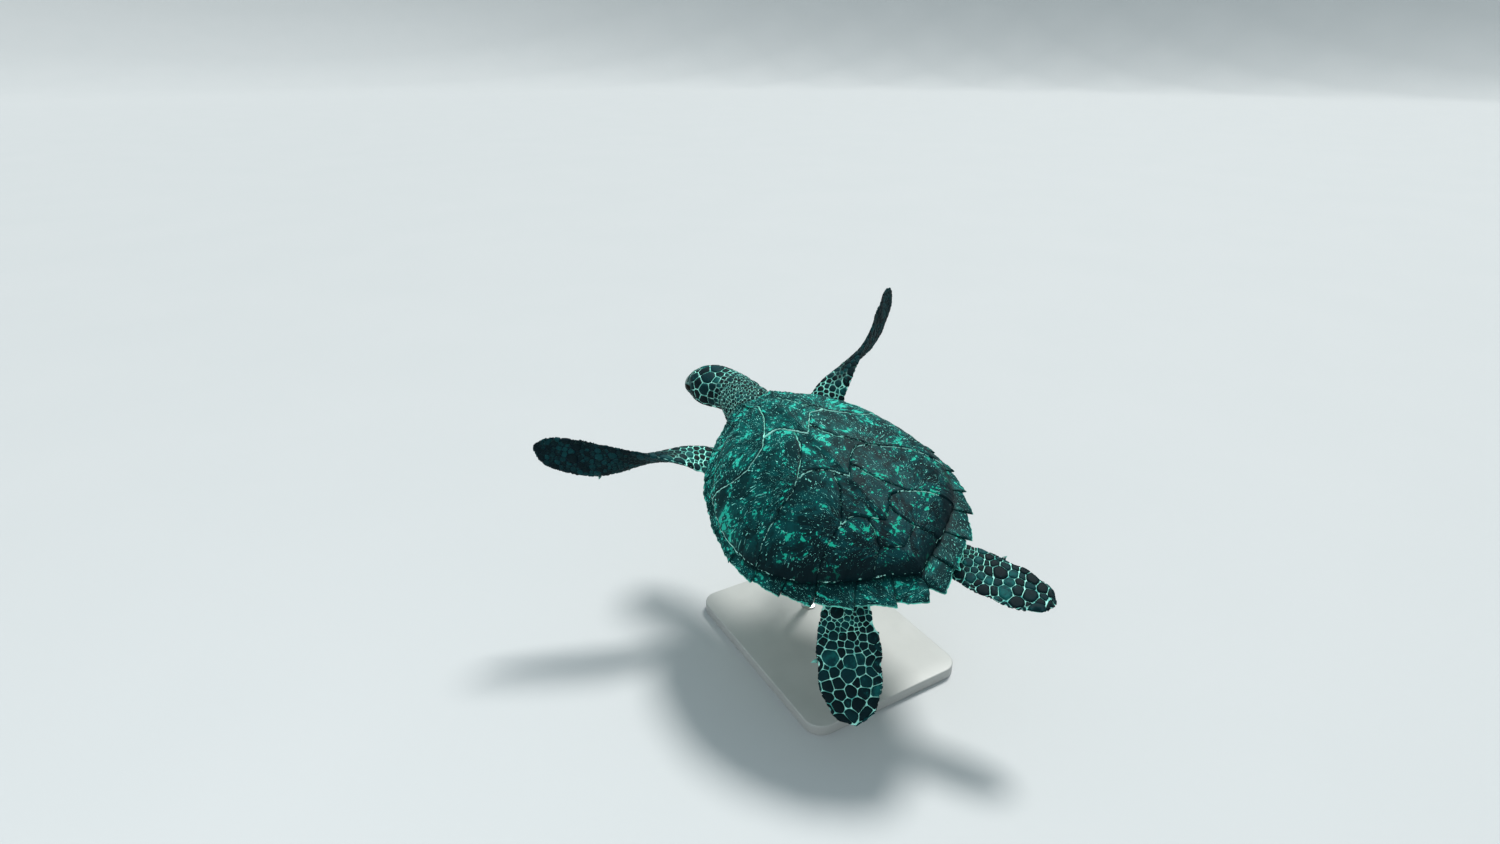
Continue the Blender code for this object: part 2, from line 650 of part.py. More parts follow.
def blade_rings(points, chord_way, normal, chord, thick, size=14):
    """Rings of a flipper: rounded front edge at the chord's positive end, thinner to the trailing edge."""
    cosine, sine = rounded(size)
    taper = 0.62 + 0.38 * cosine
    side = chord[:, None] / 2 * cosine
    rise = thick[:, None] / 2 * sine * taper
    return points[:, None] + side[..., None] * chord_way[:, None] + rise[..., None] * normal[:, None]


def front_blade(way, shares):
    """Spine points, chord directions and normals of a front flipper: way is 1 on the left, -1 right."""
    points, ways = along_spine(FRONT_SPINE, shares)
    up = unit(np.cross((0, -1, 0), ways) * -1)
    forward = np.cross(up, ways)
    forward *= np.sign(-forward[:, 1:2])
    twist = np.radians(smooth(FRONT_TWIST[way])(shares))[:, None]
    chord_way = np.cos(twist) * forward - np.sin(twist) * up * np.sign(up[:, 2:3])
    normal = np.cross(ways, chord_way)
    mirror = np.array([way, 1, 1])
    return points * mirror, chord_way * mirror, normal * mirror


def hind_blade(side, shares):
    """Spine points, chord directions and normals of a hind flipper."""
    points, ways = along_spine(HIND_SPINES[side], shares)
    wanted = np.array(HIND_CHORD_WAY[side])
    chord_way = unit(wanted - (ways @ wanted)[:, None] * ways)
    return points, chord_way, np.cross(ways, chord_way)


def make_claw(name, place, way, material, frame):
    """A short pointed claw just clear of the flipper's front edge."""
    aside = unit(np.cross(way, (0.31, 0.52, 0.79)))
    other = np.cross(way, aside)
    turn = np.linspace(0, 2 * math.pi, 8, endpoint=False)
    circle = np.cos(turn)[:, None] * aside + np.sin(turn)[:, None] * other
    lengths, radii = (0.0, 0.5, 0.95), (1.0, 0.75, 0.15)
    rings = [
        place + way * CLAW_LENGTH * length + circle * CLAW_RADIUS * radius
        for length, radius in zip(lengths, radii)
    ]
    return solid(name, *loft(rings), material, frame)


def make_flipper(name, blade, chord_knots, thick_knots, claws, materials, frame, cutter):
    """One flipper, cut clear of the trunk, with its claws on the front edge."""
    skin, horn = materials
    chord, thick = smooth(chord_knots), smooth(thick_knots)
    shares = 1 - (1 - np.linspace(0, 1, 15)) ** 1.25
    made = solid(name, *loft(blade_rings(*blade(shares), chord(shares), thick(shares))), skin, frame)
    cut_away(made, cutter)
    for letter, share in claws.items():
        at = np.array([share])
        points, chord_way, _ = blade(at)
        edge = points[0] + chord_way[0] * (chord(at)[0] / 2 + CLAW_RADIUS / 3)
        make_claw(f"claw_{name.removeprefix('flipper_')}_{letter}", edge, chord_way[0], horn, frame)


def make_tail(material, frame, cutter):
    """The short tail under the rear notch of the shell."""
    shares = np.linspace(0, 1, 6)
    points, _ = along_spine(TAIL_SPINE, shares)
    cosine, sine = rounded(10)
    circle = np.column_stack([cosine, np.zeros(10), sine])
    rings = points[:, None] + smooth(TAIL_RADIUS)(shares)[:, None, None] * circle
    return cut_away(solid("tail", *loft(rings), material, frame), cutter)


def turtle_matrix():
    """Where the turtle's frame stands: banked about its length, then nose up, over the middle of the base."""
    turn = Matrix.Rotation(-math.radians(NOSE_UP), 4, "X") @ Matrix.Rotation(math.radians(BANK_LEFT), 4, "Y")
    hang = turn @ Vector(np.array(HANG_POINT) * SHELL_LENGTH)
    return Matrix.Translation(Vector((0, 0, HANG_HEIGHT)) - hang) @ turn


def make_stand(paint, steel, matrix):
    """A flat base with round corners and two upright rods, each cut to the slope of the plastron above it."""
    corner = np.linspace(0, math.pi / 2, 6)
    half = np.array([BASE_WIDTH, BASE_LENGTH]) / 2 - BASE_CORNER
    outline = np.vstack(
        [
            half * (sx, sy) + BASE_CORNER * np.column_stack([np.cos(corner + turn), np.sin(corner + turn)])
            for sx, sy, turn in ((1, 1, 0), (-1, 1, math.pi / 2), (-1, -1, math.pi), (1, -1, 1.5 * math.pi))
        ]
    )
    low = np.column_stack([outline, np.zeros(len(outline))])
    solid("stand_base", *loft([low, low + (0, 0, BASE_THICK)]), paint, None, scale=1)
    for name, y in ROD_PLACES.items():
        foot = matrix @ Vector((0, y * SHELL_LENGTH, belly(0, y) * SHELL_LENGTH))
        normal = matrix.to_3x3() @ Vector((0, 0, 1))
        turn = np.linspace(0, 2 * math.pi, ROD_SIDES, endpoint=False)
        circle = ROD_RADIUS * np.column_stack([np.cos(turn), np.sin(turn)])
        drop = -(circle @ np.array(normal[:2])) / normal.z - 2 * GAP
        bottom = np.column_stack([circle + foot[:2], np.full(ROD_SIDES, BASE_THICK + GAP)])
        top = np.column_stack([circle + foot[:2], foot.z + drop])
        solid(name, *loft([bottom, top]), steel, None, scale=1)


def main():
    for old in list(bpy.data.objects):
        bpy.data.objects.remove(old)
    shell = finish("shell_horn", (0.030, 0.105, 0.085), 0.45)
    belly_horn = finish("plastron_horn", (0.62, 0.60, 0.42), 0.5)
    skin = finish("scaled_skin", (0.012, 0.035, 0.045), 0.5)
    horn = finish("beak_horn", (0.16, 0.22, 0.16), 0.35)
    glass = finish("eye_glass", (0.008, 0.010, 0.012), 0.08)
    paint = finish("stand_paint", (0.55, 0.55, 0.53), 0.5)
    steel = finish("stand_steel", (0.55, 0.56, 0.57), 0.3, 1.0)

    frame = bpy.data.objects.new("turtle_frame", None)
    bpy.context.scene.collection.objects.link(frame)
    frame.matrix_world = turtle_matrix()

    make_shell(shell, frame)
    make_plastron(belly_horn, frame)
    solid("trunk", *trunk_shape(), skin, frame)
    cutter = as_cutter(solid("trunk_cutter", *trunk_shape(CUT_CLEARANCE), skin, frame))
    make_neck(skin, frame, cutter)
    make_head(skin, horn, glass, frame)
    make_tail(skin, frame, cutter)
    for side, way in (("left", 1), ("right", -1)):
        make_flipper(
            f"flipper_front_{side}", lambda shares, way=way: front_blade(way, shares),
            FRONT_CHORD, FRONT_THICK, FRONT_CLAWS, (skin, horn), frame, cutter,
        )
        make_flipper(
            f"flipper_hind_{side}", lambda shares, side=side: hind_blade(side, shares),
            HIND_CHORDS[side], HIND_THICK, HIND_CLAWS, (skin, horn), frame, cutter,
        )
    make_stand(paint, steel, turtle_matrix())


main()
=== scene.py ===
"""Looks of a life-size hawksbill sea turtle, swimming on a plain display stand.

The turtle is worked out in its own frame: x to its left, y backwards from the front of the shell
and z up, in shares of the shell's straight length. TurtlePlace carries those points into the room.
Every visible surface is a function of two numbers, evaluated as whole arrays.
"""

from __future__ import annotations

import logging
import math
from dataclasses import dataclass, field
from enum import Enum
from typing import Any, Callable, Sequence

import bpy
import numpy as np
from mathutils import Matrix, Vector

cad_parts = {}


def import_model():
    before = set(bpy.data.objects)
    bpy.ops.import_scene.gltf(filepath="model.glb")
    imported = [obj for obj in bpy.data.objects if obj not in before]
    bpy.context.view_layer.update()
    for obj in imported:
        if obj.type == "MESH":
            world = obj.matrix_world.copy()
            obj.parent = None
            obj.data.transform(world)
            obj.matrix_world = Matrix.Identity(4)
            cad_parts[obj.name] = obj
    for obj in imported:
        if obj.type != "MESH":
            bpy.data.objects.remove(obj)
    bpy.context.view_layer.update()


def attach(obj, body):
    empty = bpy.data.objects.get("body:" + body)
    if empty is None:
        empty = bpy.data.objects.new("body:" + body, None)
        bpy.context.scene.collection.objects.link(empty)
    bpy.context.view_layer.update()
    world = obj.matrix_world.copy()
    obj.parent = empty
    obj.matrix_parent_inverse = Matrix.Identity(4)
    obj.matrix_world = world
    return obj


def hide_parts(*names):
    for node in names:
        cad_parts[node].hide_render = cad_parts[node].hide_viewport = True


Array = np.ndarray
Knots = Sequence[tuple[float, float]]
Point = tuple[float, float, float]
Colour = Point

log = logging.getLogger("turtle")


# Shapes of one and two numbers


class Profile:
    """A monotone cubic through knots of (place, value), level beyond its ends."""

    def __init__(self, knots: Knots) -> None:
        """Works out the slope at each knot: the harmonic mean of its neighbours' slopes.

        Args:
            knots: Places, in rising order, and the values there.
        """
        self.xs, self.ys = np.array(knots, float).T
        self.steps = np.diff(self.xs)
        slopes = np.diff(self.ys) / self.steps
        left = 2 * self.steps[1:] + self.steps[:-1]
        right = self.steps[1:] + 2 * self.steps[:-1]
        with np.errstate(divide="ignore", invalid="ignore"):
            mean = (left + right) / (left / slopes[:-1] + right / slopes[1:])
        inner = np.where(slopes[:-1] * slopes[1:] > 0, mean, 0.0)
        self.slopes = np.concatenate([slopes[:1], inner, slopes[-1:]])

    def __call__(self, x: Array | float) -> Array:
        """Value at x, by the cubic Hermite formula between the two knots round it.

        Args:
            x: Place or places along the knots.

        Returns:
            The value at each place.
        """
        x = np.clip(np.asarray(x, float), self.xs[0], self.xs[-1])
        k = np.clip(np.searchsorted(self.xs, x, "right") - 1, 0, len(self.steps) - 1)
        t = (x - self.xs[k]) / self.steps[k]
        return (
            self.ys[k] * (1 + 2 * t) * (1 - t) ** 2
            + self.slopes[k] * self.steps[k] * t * (1 - t) ** 2
            + self.ys[k + 1] * t * t * (3 - 2 * t)
            + self.slopes[k + 1] * self.steps[k] * t * t * (t - 1)
        )


class Path:
    """A Catmull-Rom curve through points, as a function that is k at point k."""

    def __init__(self, points: Sequence[Sequence[float]]) -> None:
        """Keeps the points with one more beyond each end, mirrored through it.

        Args:
            points: Points that the curve runs through.
        """
        given = np.array(points, float)
        self.last = len(given) - 1
        self.padded = np.vstack([2 * given[0] - given[1], given, 2 * given[-1] - given[-2]])

    def __call__(self, u: Array | float) -> Array:
        """Points at u, by the uniform Catmull-Rom formula between the four points round it.

        Args:
            u: Place along the path, 0 at the first point and one more at each next.

        Returns:
            One point for each u.
        """
        u = np.asarray(u, float)
        k = np.clip(np.floor(u).astype(int), 0, self.last - 1)
        t = (u - k)[..., None]
        a, b, c, d = (self.padded[k + i] for i in range(4))
        bends = (2 * a - 5 * b + 4 * c - d) * t**2 + (3 * b - a - 3 * c + d) * t**3
        return 0.5 * (2 * b + (c - a) * t + bends)

    def sampled(self, count: int) -> Array:
        """Count points, evenly spread in u from end to end."""
        return self(np.linspace(0, self.last, count))


def unit(vectors: Array) -> Array:
    """Vectors scaled to length one."""
    return vectors / np.maximum(np.linalg.norm(vectors, axis=-1, keepdims=True), 1e-12)


def signed_power(value: Array, power: float) -> Array:
    """The sign of a value times its size raised to a power."""
    return np.sign(value) * np.abs(value) ** power


def ease(value: Array, low: float, high: float) -> Array:
    """A smooth step: zero at low, one at high and 3t^2 - 2t^3 between, whichever is the larger."""
    t = np.clip((np.asarray(value, float) - low) / (high - low), 0, 1)
    return t * t * (3 - 2 * t)


def bell(value: Array, middle: float | Array, width: float) -> Array:
    """A bump of height one round the middle: e to the minus ((value - middle) / width)^2."""
    return np.exp(-(((value - middle) / width) ** 2))


def angles(count: int) -> Array:
    """Angles in radians, evenly spread once round from zero."""
    return np.linspace(0, 2 * math.pi, count, endpoint=False)


def circle(count: int) -> Array:
    """Unit vectors of the plane, evenly spread once round."""
    return np.column_stack([np.cos(angles(count)), np.sin(angles(count))])


def travelled(line: Array) -> Array:
    """How far along a line of points each point lies."""
    return np.concatenate([[0.0], np.cumsum(np.linalg.norm(np.diff(line, axis=0), axis=1))])


def columns_at(places: Array, reach: Array, line: Array) -> Array:
    """A line's points, straight between its own, at places given as distances along it."""
    return np.stack([np.interp(places, reach, line[:, k]) for k in range(line.shape[1])], -1)


class Spine:
    """A curve with a length: points and unit directions at shares of its length."""

    def __init__(self, points: Sequence[Sequence[float]], count: int = 480) -> None:
        """Samples the smooth path finely and measures how far along it each sample lies.

        Args:
            points: Points that the curve runs through.
            count: How many samples to take.
        """
        self.line = Path(points).sampled(count)
        self.reach = travelled(self.line)
        self.length = float(self.reach[-1])
        self.ways = unit(np.gradient(self.line, axis=0))

    def at(self, shares: Array) -> tuple[Array, Array]:
        """Points and directions at shares of the length.

        Args:
            shares: Shares from 0 to 1, of any shape.

        Returns:
            The points and the unit directions, each with a last axis of three.
        """
        place = np.asarray(shares, float) * self.length
        return columns_at(place, self.reach, self.line), unit(columns_at(place, self.reach, self.ways))


@dataclass(frozen=True)
class TurtlePlace:
    """Where the turtle's own frame stands in the room: banked about its length, then nose up."""

    shell_length: float = 0.56
    nose_up: float = 9.2
    bank_left: float = 13.8
    hang_point: Point = (0.0, 0.45, 0.0)
    hang_height: float = 0.34

    def turn(self) -> Array:
        """The rotation from the turtle's frame to the room's, as a three by three array."""
        nose = Matrix.Rotation(-math.radians(self.nose_up), 3, "X")
        return np.array(nose @ Matrix.Rotation(math.radians(self.bank_left), 3, "Y"))

    def place(self, points: Array) -> Array:
        """Points in shares of the shell carried into the room, in metres."""
        local = (np.asarray(points, float) - np.array(self.hang_point)) * self.shell_length
        return local @ self.turn().T + (0.0, 0.0, self.hang_height)


PLACE = TurtlePlace()


# Meshes


@dataclass
class Sheet:
    """Points, four-sided and three-sided faces, and what the points carry for the materials."""

    points: Array
    quads: Array
    tris: Array
    marks: dict[str, Array] = field(default_factory=dict)
    unwrap: Array | None = None

    @classmethod
    def lofts(cls, rings: Array, marks: dict[str, Array], unwrap: Array | None = None) -> Sheet:
        """Closed shells, each a row of closed rings with a fan over its first and last ring.

        A shell's side faces join point j of ring i to point j + 1 of ring i + 1. A fan's middle
        is the mean of its ring, and every mark's middle is the mean of the ring's marks.

        Args:
            rings: Points, as shell by ring by point by three.
            marks: Values per ring point, as shell by ring by point, or vectors with a last axis.
            unwrap: Map places per ring point, as shell by ring by point by two.

        Returns:
            All shells as one sheet that faces outwards.
        """
        shells, count, size = rings.shape[:3]
        start = np.arange(shells)[:, None, None] * (count * size + 2)
        here = start + np.arange(count * size).reshape(count, size)
        ahead = np.roll(here, -1, axis=2)
        quads = np.stack([here[:, :-1], ahead[:, :-1], ahead[:, 1:], here[:, 1:]], -1).reshape(-1, 4)
        first, last = (np.broadcast_to(start[:, 0] + count * size + k, (shells, size)) for k in (0, 1))
        low = np.stack([ahead[:, 0], here[:, 0], first], -1)
        high = np.stack([here[:, -1], ahead[:, -1], last], -1)
        tris = np.concatenate([low, high]).reshape(-1, 3)

        def flat(values: Array) -> Array:
            """Ring values with the two middles of each shell after them, shell by shell.

            Args:
                values: Values per ring point, as shell by ring by point.

            Returns:
                Values in the order of the sheet's points.
            """
            tail = values.shape[3:]
            ends = np.stack([values[:, 0].mean(1), values[:, -1].mean(1)], 1)
            whole = np.concatenate([values.reshape(shells, count * size, *tail), ends], 1)
            return whole.reshape(shells * (count * size + 2), *tail)

        carried = {name: flat(np.asarray(value, float)) for name, value in marks.items()}
        return cls(flat(rings), quads, tris, carried, None if unwrap is None else flat(unwrap)).outward()

    @classmethod
    def loft(cls, rings: Array, marks: dict[str, Array] | None = None) -> Sheet:
        """One closed shell of rings, given as ring by point by three."""
        return cls.lofts(rings[None], {name: value[None] for name, value in (marks or {}).items()})

    @classmethod
    def joined(cls, sheets: Sequence[Sheet]) -> Sheet:
        """Several sheets as one. They all carry the same marks, and none has a map.

        Args:
            sheets: The sheets.

        Returns:
            The joined sheet.
        """
        starts = np.cumsum([0] + [len(sheet.points) for sheet in sheets[:-1]])
        points = np.concatenate([sheet.points for sheet in sheets])
        quads = np.concatenate([sheet.quads + start for sheet, start in zip(sheets, starts)])
        tris = np.concatenate([sheet.tris + start for sheet, start in zip(sheets, starts)])
        marks = {name: np.concatenate([sheet.marks[name] for sheet in sheets]) for name in sheets[0].marks}
        return cls(points, quads, tris, marks)

    def volume(self) -> float:
        """Six times the signed volume inside the faces.

        Returns:
            The volume, negative if the faces point inwards.
        """
        three = np.concatenate([self.tris, self.quads[:, [0, 1, 2]], self.quads[:, [0, 2, 3]]])
        a, b, c = (self.points[three[:, k]] - self.points[0] for k in range(3))
        return float(np.einsum("ij,ij->", a, np.cross(b, c)))

    def outward(self) -> Sheet:
        """The same sheet with its faces turned to point outwards.

        Returns:
            The sheet.
        """
        if self.volume() < 0:
            self.quads, self.tris = self.quads[:, ::-1], self.tris[:, ::-1]
        return self

    def placed(self) -> Sheet:
        """The same sheet carried from the turtle's frame into the room."""
        return Sheet(PLACE.place(self.points), self.quads, self.tris, self.marks, self.unwrap)

    def mesh(self, name: str) -> bpy.types.Mesh:
        """A Blender mesh of the sheet, smooth shaded, with its marks and its OFBake map.

        Args:
            name: The mesh's name.

        Returns:
            The mesh.
        """
        mesh = bpy.data.meshes.new(name)
        loops = np.concatenate([self.quads.ravel(), self.tris.ravel()]).astype(np.int32)
        sizes = np.concatenate([np.full(len(self.quads), 4), np.full(len(self.tris), 3)])
        starts = np.concatenate([[0], np.cumsum(sizes)[:-1]]).astype(np.int32)
        mesh.vertices.add(len(self.points))
        mesh.loops.add(len(loops))
        mesh.polygons.add(len(sizes))
        mesh.vertices.foreach_set("co", self.points.astype(np.float32).ravel())
        mesh.loops.foreach_set("vertex_index", loops)
        mesh.polygons.foreach_set("loop_start", starts)
        mesh.update(calc_edges=True)
        for label, values in self.marks.items():
            kind, key = ("FLOAT_VECTOR", "vector") if values.ndim == 2 else ("FLOAT", "value")
            mark = mesh.attributes.new(label, kind, "POINT")
            mark.data.foreach_set(key, values.astype(np.float32).ravel())
        if self.unwrap is not None:
            places = self.unwrap[loops].astype(np.float32).ravel()
            mesh.uv_layers.new(name="OFBake").data.foreach_set("uv", places)
        mesh.validate()
        mesh.shade_smooth()
        return mesh


class Slot(Enum):
    """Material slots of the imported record."""

    SHELL = "shell_horn"
    PLASTRON = "plastron_horn"
    SKIN = "scaled_skin"
    HORN = "beak_horn"
    EYE = "eye_glass"
    PAINT = "stand_paint"
    STEEL = "stand_steel"


def added(name: str, data: bpy.types.ID) -> bpy.types.Object:
    """An object of a mesh, a lamp or a camera, linked into the scene.

    Args:
        name: The object's name.
        data: What it shows.

    Returns:
        The object.
    """
    made = bpy.data.objects.new(name, data)
    bpy.context.scene.collection.objects.link(made)
    return made


def piece(
    name: str,
    sheet: Sheet,
    material: bpy.types.Material,
    slot: Slot,
    stands_for: Sequence[str] = (),
    crease: float = 0.0,
) -> bpy.types.Object:
    """An object of a sheet in room metres, riding on the model.

    Args:
        name: The piece's name.
        sheet: Its surface.
        material: Its finish.
        slot: Not used.
        stands_for: The frame nodes that it replaces.
        crease: Angle in degrees past which an edge is sharp, or 0 for none.

    Returns:
        The object.
    """
    mesh = sheet.mesh(name)
    mesh.materials.append(material)
    if crease:
        mesh.set_sharp_from_angle(angle=math.radians(crease))
    made = added(name, mesh)
    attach(made, "root")
    if stands_for:
        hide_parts(*stands_for)
    log.info("%s: %d points, %d faces", name, len(mesh.vertices), len(mesh.polygons))
    return made


# Finishes


class Wire:
    """One output inside a finish. Arithmetic on it adds Math nodes."""

    def __init__(self, finish: Finish, socket: bpy.types.NodeSocket) -> None:
        """Keeps the finish that the output belongs to."""
        self.finish = finish
        self.socket = socket

    def _maths(self, operation: str, first: Wire | float, second: Wire | float = 0.0) -> Wire:
        """A Math node over two inputs."""
        return self.finish.node("ShaderNodeMath", {"operation": operation}, {0: first, 1: second})

    def __add__(self, other: Wire | float) -> Wire:
        """Sum."""
        return self._maths("ADD", self, other)

    def __radd__(self, other: float) -> Wire:
        """Sum, reflected."""
        return self._maths("ADD", other, self)

    def __sub__(self, other: Wire | float) -> Wire:
        """Difference."""
        return self._maths("SUBTRACT", self, other)

    def __rsub__(self, other: float) -> Wire:
        """Difference, reflected."""
        return self._maths("SUBTRACT", other, self)

    def __mul__(self, other: Wire | float) -> Wire:
        """Product."""
        return self._maths("MULTIPLY", self, other)

    def __rmul__(self, other: float) -> Wire:
        """Product, reflected."""
        return self._maths("MULTIPLY", other, self)

    def between(self, low: float, high: float) -> Wire:
        """Smooth step: 0 up to low and 1 from high, or the other way round if high is below low.

        Args:
            low: Value at one end of the step.
            high: Value at the other end.

        Returns:
            The step.
        """
        ends = (low, high, 0.0, 1.0) if low < high else (high, low, 1.0, 0.0)
        values: Inputs = {0: self, **dict(enumerate(ends, 1))}
        return self.finish.node("ShaderNodeMapRange", {"interpolation_type": "SMOOTHSTEP"}, values)


class Colours(Enum):
    """Linear colours of the turtle's markings, and of the painted light and painted shade on its shell."""

    NIGHT = (0.0004, 0.0080, 0.0110)
    DEEP = (0.0010, 0.0330, 0.0390)
    SEA = (0.0050, 0.1100, 0.1050)
    BRIGHT = (0.0280, 0.5400, 0.4200)
    MINT = (0.4600, 0.9800, 0.8600)
    FOAM = (0.2800, 0.9300, 0.8000)
    CREAM = (0.6200, 0.6600, 0.4900)


Value = Wire | Colours | float | Colour
Inputs = dict[int | str, Value]


class Finish:
    """A material under construction: a Principled shader, the nodes that feed it and its base colour."""

    def __init__(self, name: str, base: Value, **sockets: float | Colour) -> None:
        """Starts a material.

        Args:
            name: The material's name.
            base: Its lowest layer of colour.
            sockets: Constants of the shader, with underscores for spaces in the socket names.
        """
        self.material = bpy.data.materials.new(name)
        self.material.use_nodes = True
        self.tree = self.material.node_tree
        self.shader = self.tree.nodes["Principled BSDF"]
        self.base = base
        for label, value in sockets.items():
            self.feed(self.shader.inputs[label.replace("_", " ")], value)

    def feed(self, socket: bpy.types.NodeSocket, value: Value) -> None:
        """Links a socket to an output, or sets it to a constant.

        Args:
            socket: The input.
            value: An output, a number, or a colour, which gets an alpha of one.
        """
        if isinstance(value, Wire):
            self.tree.links.new(value.socket, socket)
            return
        value = value.value if isinstance(value, Colours) else value
        socket.default_value = (*value, 1.0) if socket.type == "RGBA" else value

    def node(
        self,
        kind: str,
        settings: dict[str, Any] | None = None,
        values: Inputs | None = None,
        output: int | str = 0,
    ) -> Wire:
        """A node of any type.

        Args:
            kind: Blender's type name.
            settings: Properties of the node.
            values: Its inputs by number or name, as constants or as other nodes' outputs.
            output: Which output to hand back.

        Returns:
            That output.
        """
        made = self.tree.nodes.new(kind)
        for label, setting in (settings or {}).items():
            setattr(made, label, setting)
        for key, value in (values or {}).items():
            self.feed(made.inputs[key], value)
        return Wire(self, made.outputs[output])

    def place(self) -> Wire:
        """Object coordinates, which are metres in the room."""
        return self.node("ShaderNodeTexCoord", output="Object")

    def mark(self, label: str, output: str = "Fac") -> Wire:
        """A value or, with output Vector, a vector that the points carry."""
        return self.node("ShaderNodeAttribute", {"attribute_name": label}, output=output)

    def noise(
        self, where: Wire, scale: float, detail: float = 3.0, rough: float = 0.55, bend: float = 0.0
    ) -> Wire:
        """Fractal noise of about 0.3 to 0.7."""
        labels = ("Vector", "Scale", "Detail", "Roughness", "Distortion")
        return self.node("ShaderNodeTexNoise", None, dict(zip(labels, (where, scale, detail, rough, bend))))

    def cells(self, where: Wire, scale: float) -> Wire:
        """Distance to the nearest border of random cells.

        Args:
            where: Coordinates.
            scale: Cells for each unit of them.

        Returns:
            The distance.
        """
        return self.node(
            "ShaderNodeTexVoronoi", {"feature": "DISTANCE_TO_EDGE"}, {"Vector": where, "Scale": scale}
        )

    def scaled(self, where: Wire, factors: Colour) -> Wire:
        """A vector times another, part by part."""
        return self.node("ShaderNodeVectorMath", {"operation": "MULTIPLY"}, {0: where, 1: factors})

    def moved(self, where: Wire, amount: Wire) -> Wire:
        """A vector plus another."""
        return self.node("ShaderNodeVectorMath", {"operation": "ADD"}, {0: where, 1: amount})

    def mix(self, share: Value, low: Value, high: Value) -> Wire:
        """Colour between low, at share 0, and high, at share 1."""
        return self.node("ShaderNodeMix", {"data_type": "RGBA"}, {0: share, 6: low, 7: high}, output=2)

    def cover(self, share: Value, colour: Value) -> None:
        """Lays a colour over the base colour by a share."""
        self.base = self.mix(share, self.base, colour)

    def done(
        self, roughness: Value, height: Wire | None = None, distance: float = 0.0, strength: float = 1.0
    ) -> bpy.types.Material:
        """Feeds the shader and ends the material.

        Args:
            roughness: The shader's roughness.
            height: What the surface's bumps follow, or None for a flat one.
            distance: How high the bumps are, in metres.
            strength: How strongly they show.

        Returns:
            The material.
        """
        self.feed(self.shader.inputs["Base Color"], self.base)
        self.feed(self.shader.inputs["Roughness"], roughness)
        if height is not None:
            values: Inputs = {"Height": height, "Distance": distance, "Strength": strength}
            self.feed(self.shader.inputs["Normal"], self.node("ShaderNodeBump", None, values))
        return self.material


def shell_finish() -> bpy.types.Material:
    """Worn horn: nearly black green with ragged bright patches, and pale dashes that fan out.

    The plates carry edge, the distance from their outline in metres, and grain: the angle round
    the growth point, the distance from it and the plate's number. Rim is the nearness to the
    shell's outer edge, front the nearness to its front, and shade the nearness to the deep
    gutter at the rear. Front paints light: the shell is lighter towards its front, as if lit from
    above the front. Shade paints a shadow into the deep gutter at the rear, and a painted shade
    darkens every plate just inside its edge.

    Returns:
        The material.
    """
    finish = Finish("shell_horn", Colours.NIGHT, Specular_IOR_Level=0.06)
    where, grain, edge = finish.place(), finish.mark("grain", "Vector"), finish.mark("edge")
    rim, front = finish.mark("rim"), finish.mark("front")
    bends: Inputs = {"Vector": where, "Scale": 16.0, "Detail": 2.0}
    sway = finish.node("ShaderNodeTexNoise", None, bends, output=1)
    fan = finish.moved(finish.scaled(grain, (5.2, 9.0, 3.7)), finish.scaled(sway, (1.4, 1.4, 0.0)))
    streaks, patches = finish.noise(fan, 1.5, 3.0, 0.55, 0.3), finish.noise(where, 27.0, 4.0, 0.6, 0.8)
    cloud, grains = finish.noise(where, 8.0, 2.0), finish.noise(where, 300.0, 3.0, 0.65)
    ragged = finish.noise(where, 120.0, 4.0, 0.62, 0.6)
    frayed = ragged - 0.5
    dashes = finish.noise(finish.scaled(fan, (1.5, 2.1, 1.0)), 5.4, 2.0, 0.5, 0.3)
    specks = finish.noise(finish.scaled(fan, (2.4, 4.2, 1.0)), 5.4, 2.0, 0.5, 0.3)
    # Painted light: the base, mottle and patch colours are lighter, and the patches, dashes and specks
    # fuller, towards the front, as if lit from above the front.
    finish.base = finish.mix(front, Colours.NIGHT, (0.0006, 0.0320, 0.0340))
    mottle = patches * 0.45 + streaks * 0.3 + cloud * 0.25
    finish.cover(mottle.between(0.45, 0.56), finish.mix(front, Colours.DEEP, (0.0016, 0.0880, 0.0820)))
    splash = patches * 0.52 + streaks * 0.48 + frayed * 0.6 + front * 0.015
    bright = splash.between(0.606, 0.624)
    finish.cover(bright * 0.92, finish.mix(front, (0.0070, 0.3400, 0.2300), Colours.BRIGHT))
    pale = (dashes + (grains - 0.5) * 0.06 + front * 0.032).between(0.676, 0.690)
    finish.cover(pale * (0.5 + front * 0.5), Colours.FOAM)
    finish.cover((specks + front * 0.025).between(0.720, 0.738) * 0.9, Colours.FOAM)
    # Painted shade: each plate is darker in a band just inside its edge, where the seams lie in shade.
    finish.cover((edge + frayed * 0.008).between(0.0075, 0.0040) * 0.45, Colours.NIGHT)
    # Painted shadow: the plates darken by the deep gutter at the rear, where the raised rear plates cast
    # shade.
    finish.cover(finish.mark("shade") * 0.85, Colours.NIGHT)
    # Painted light: the pale seam lines are more whole towards the front.
    broken = (ragged * 0.5 + patches * 0.5 + front * 0.21).between(0.55, 0.58)
    finish.cover((edge + frayed * 0.0060).between(0.0022, 0.0012) * broken * 0.95, Colours.MINT)
    edging = rim.between(0.80, 1.0) * (0.40 + ragged.between(0.42, 0.58) * 0.55)
    finish.cover(edging, (0.1600, 0.7000, 0.5600))
    rings = finish.noise(finish.scaled(grain, (1.2, 90.0, 5.0)), 1.0, 2.0)
    height = rings * 0.5 + streaks * 0.5 + grains * 0.25 + ragged * 0.35 + pale * 0.2
    return finish.done(0.46 + grains * 0.22 + bright * 0.08, height, 0.0012, 0.6)


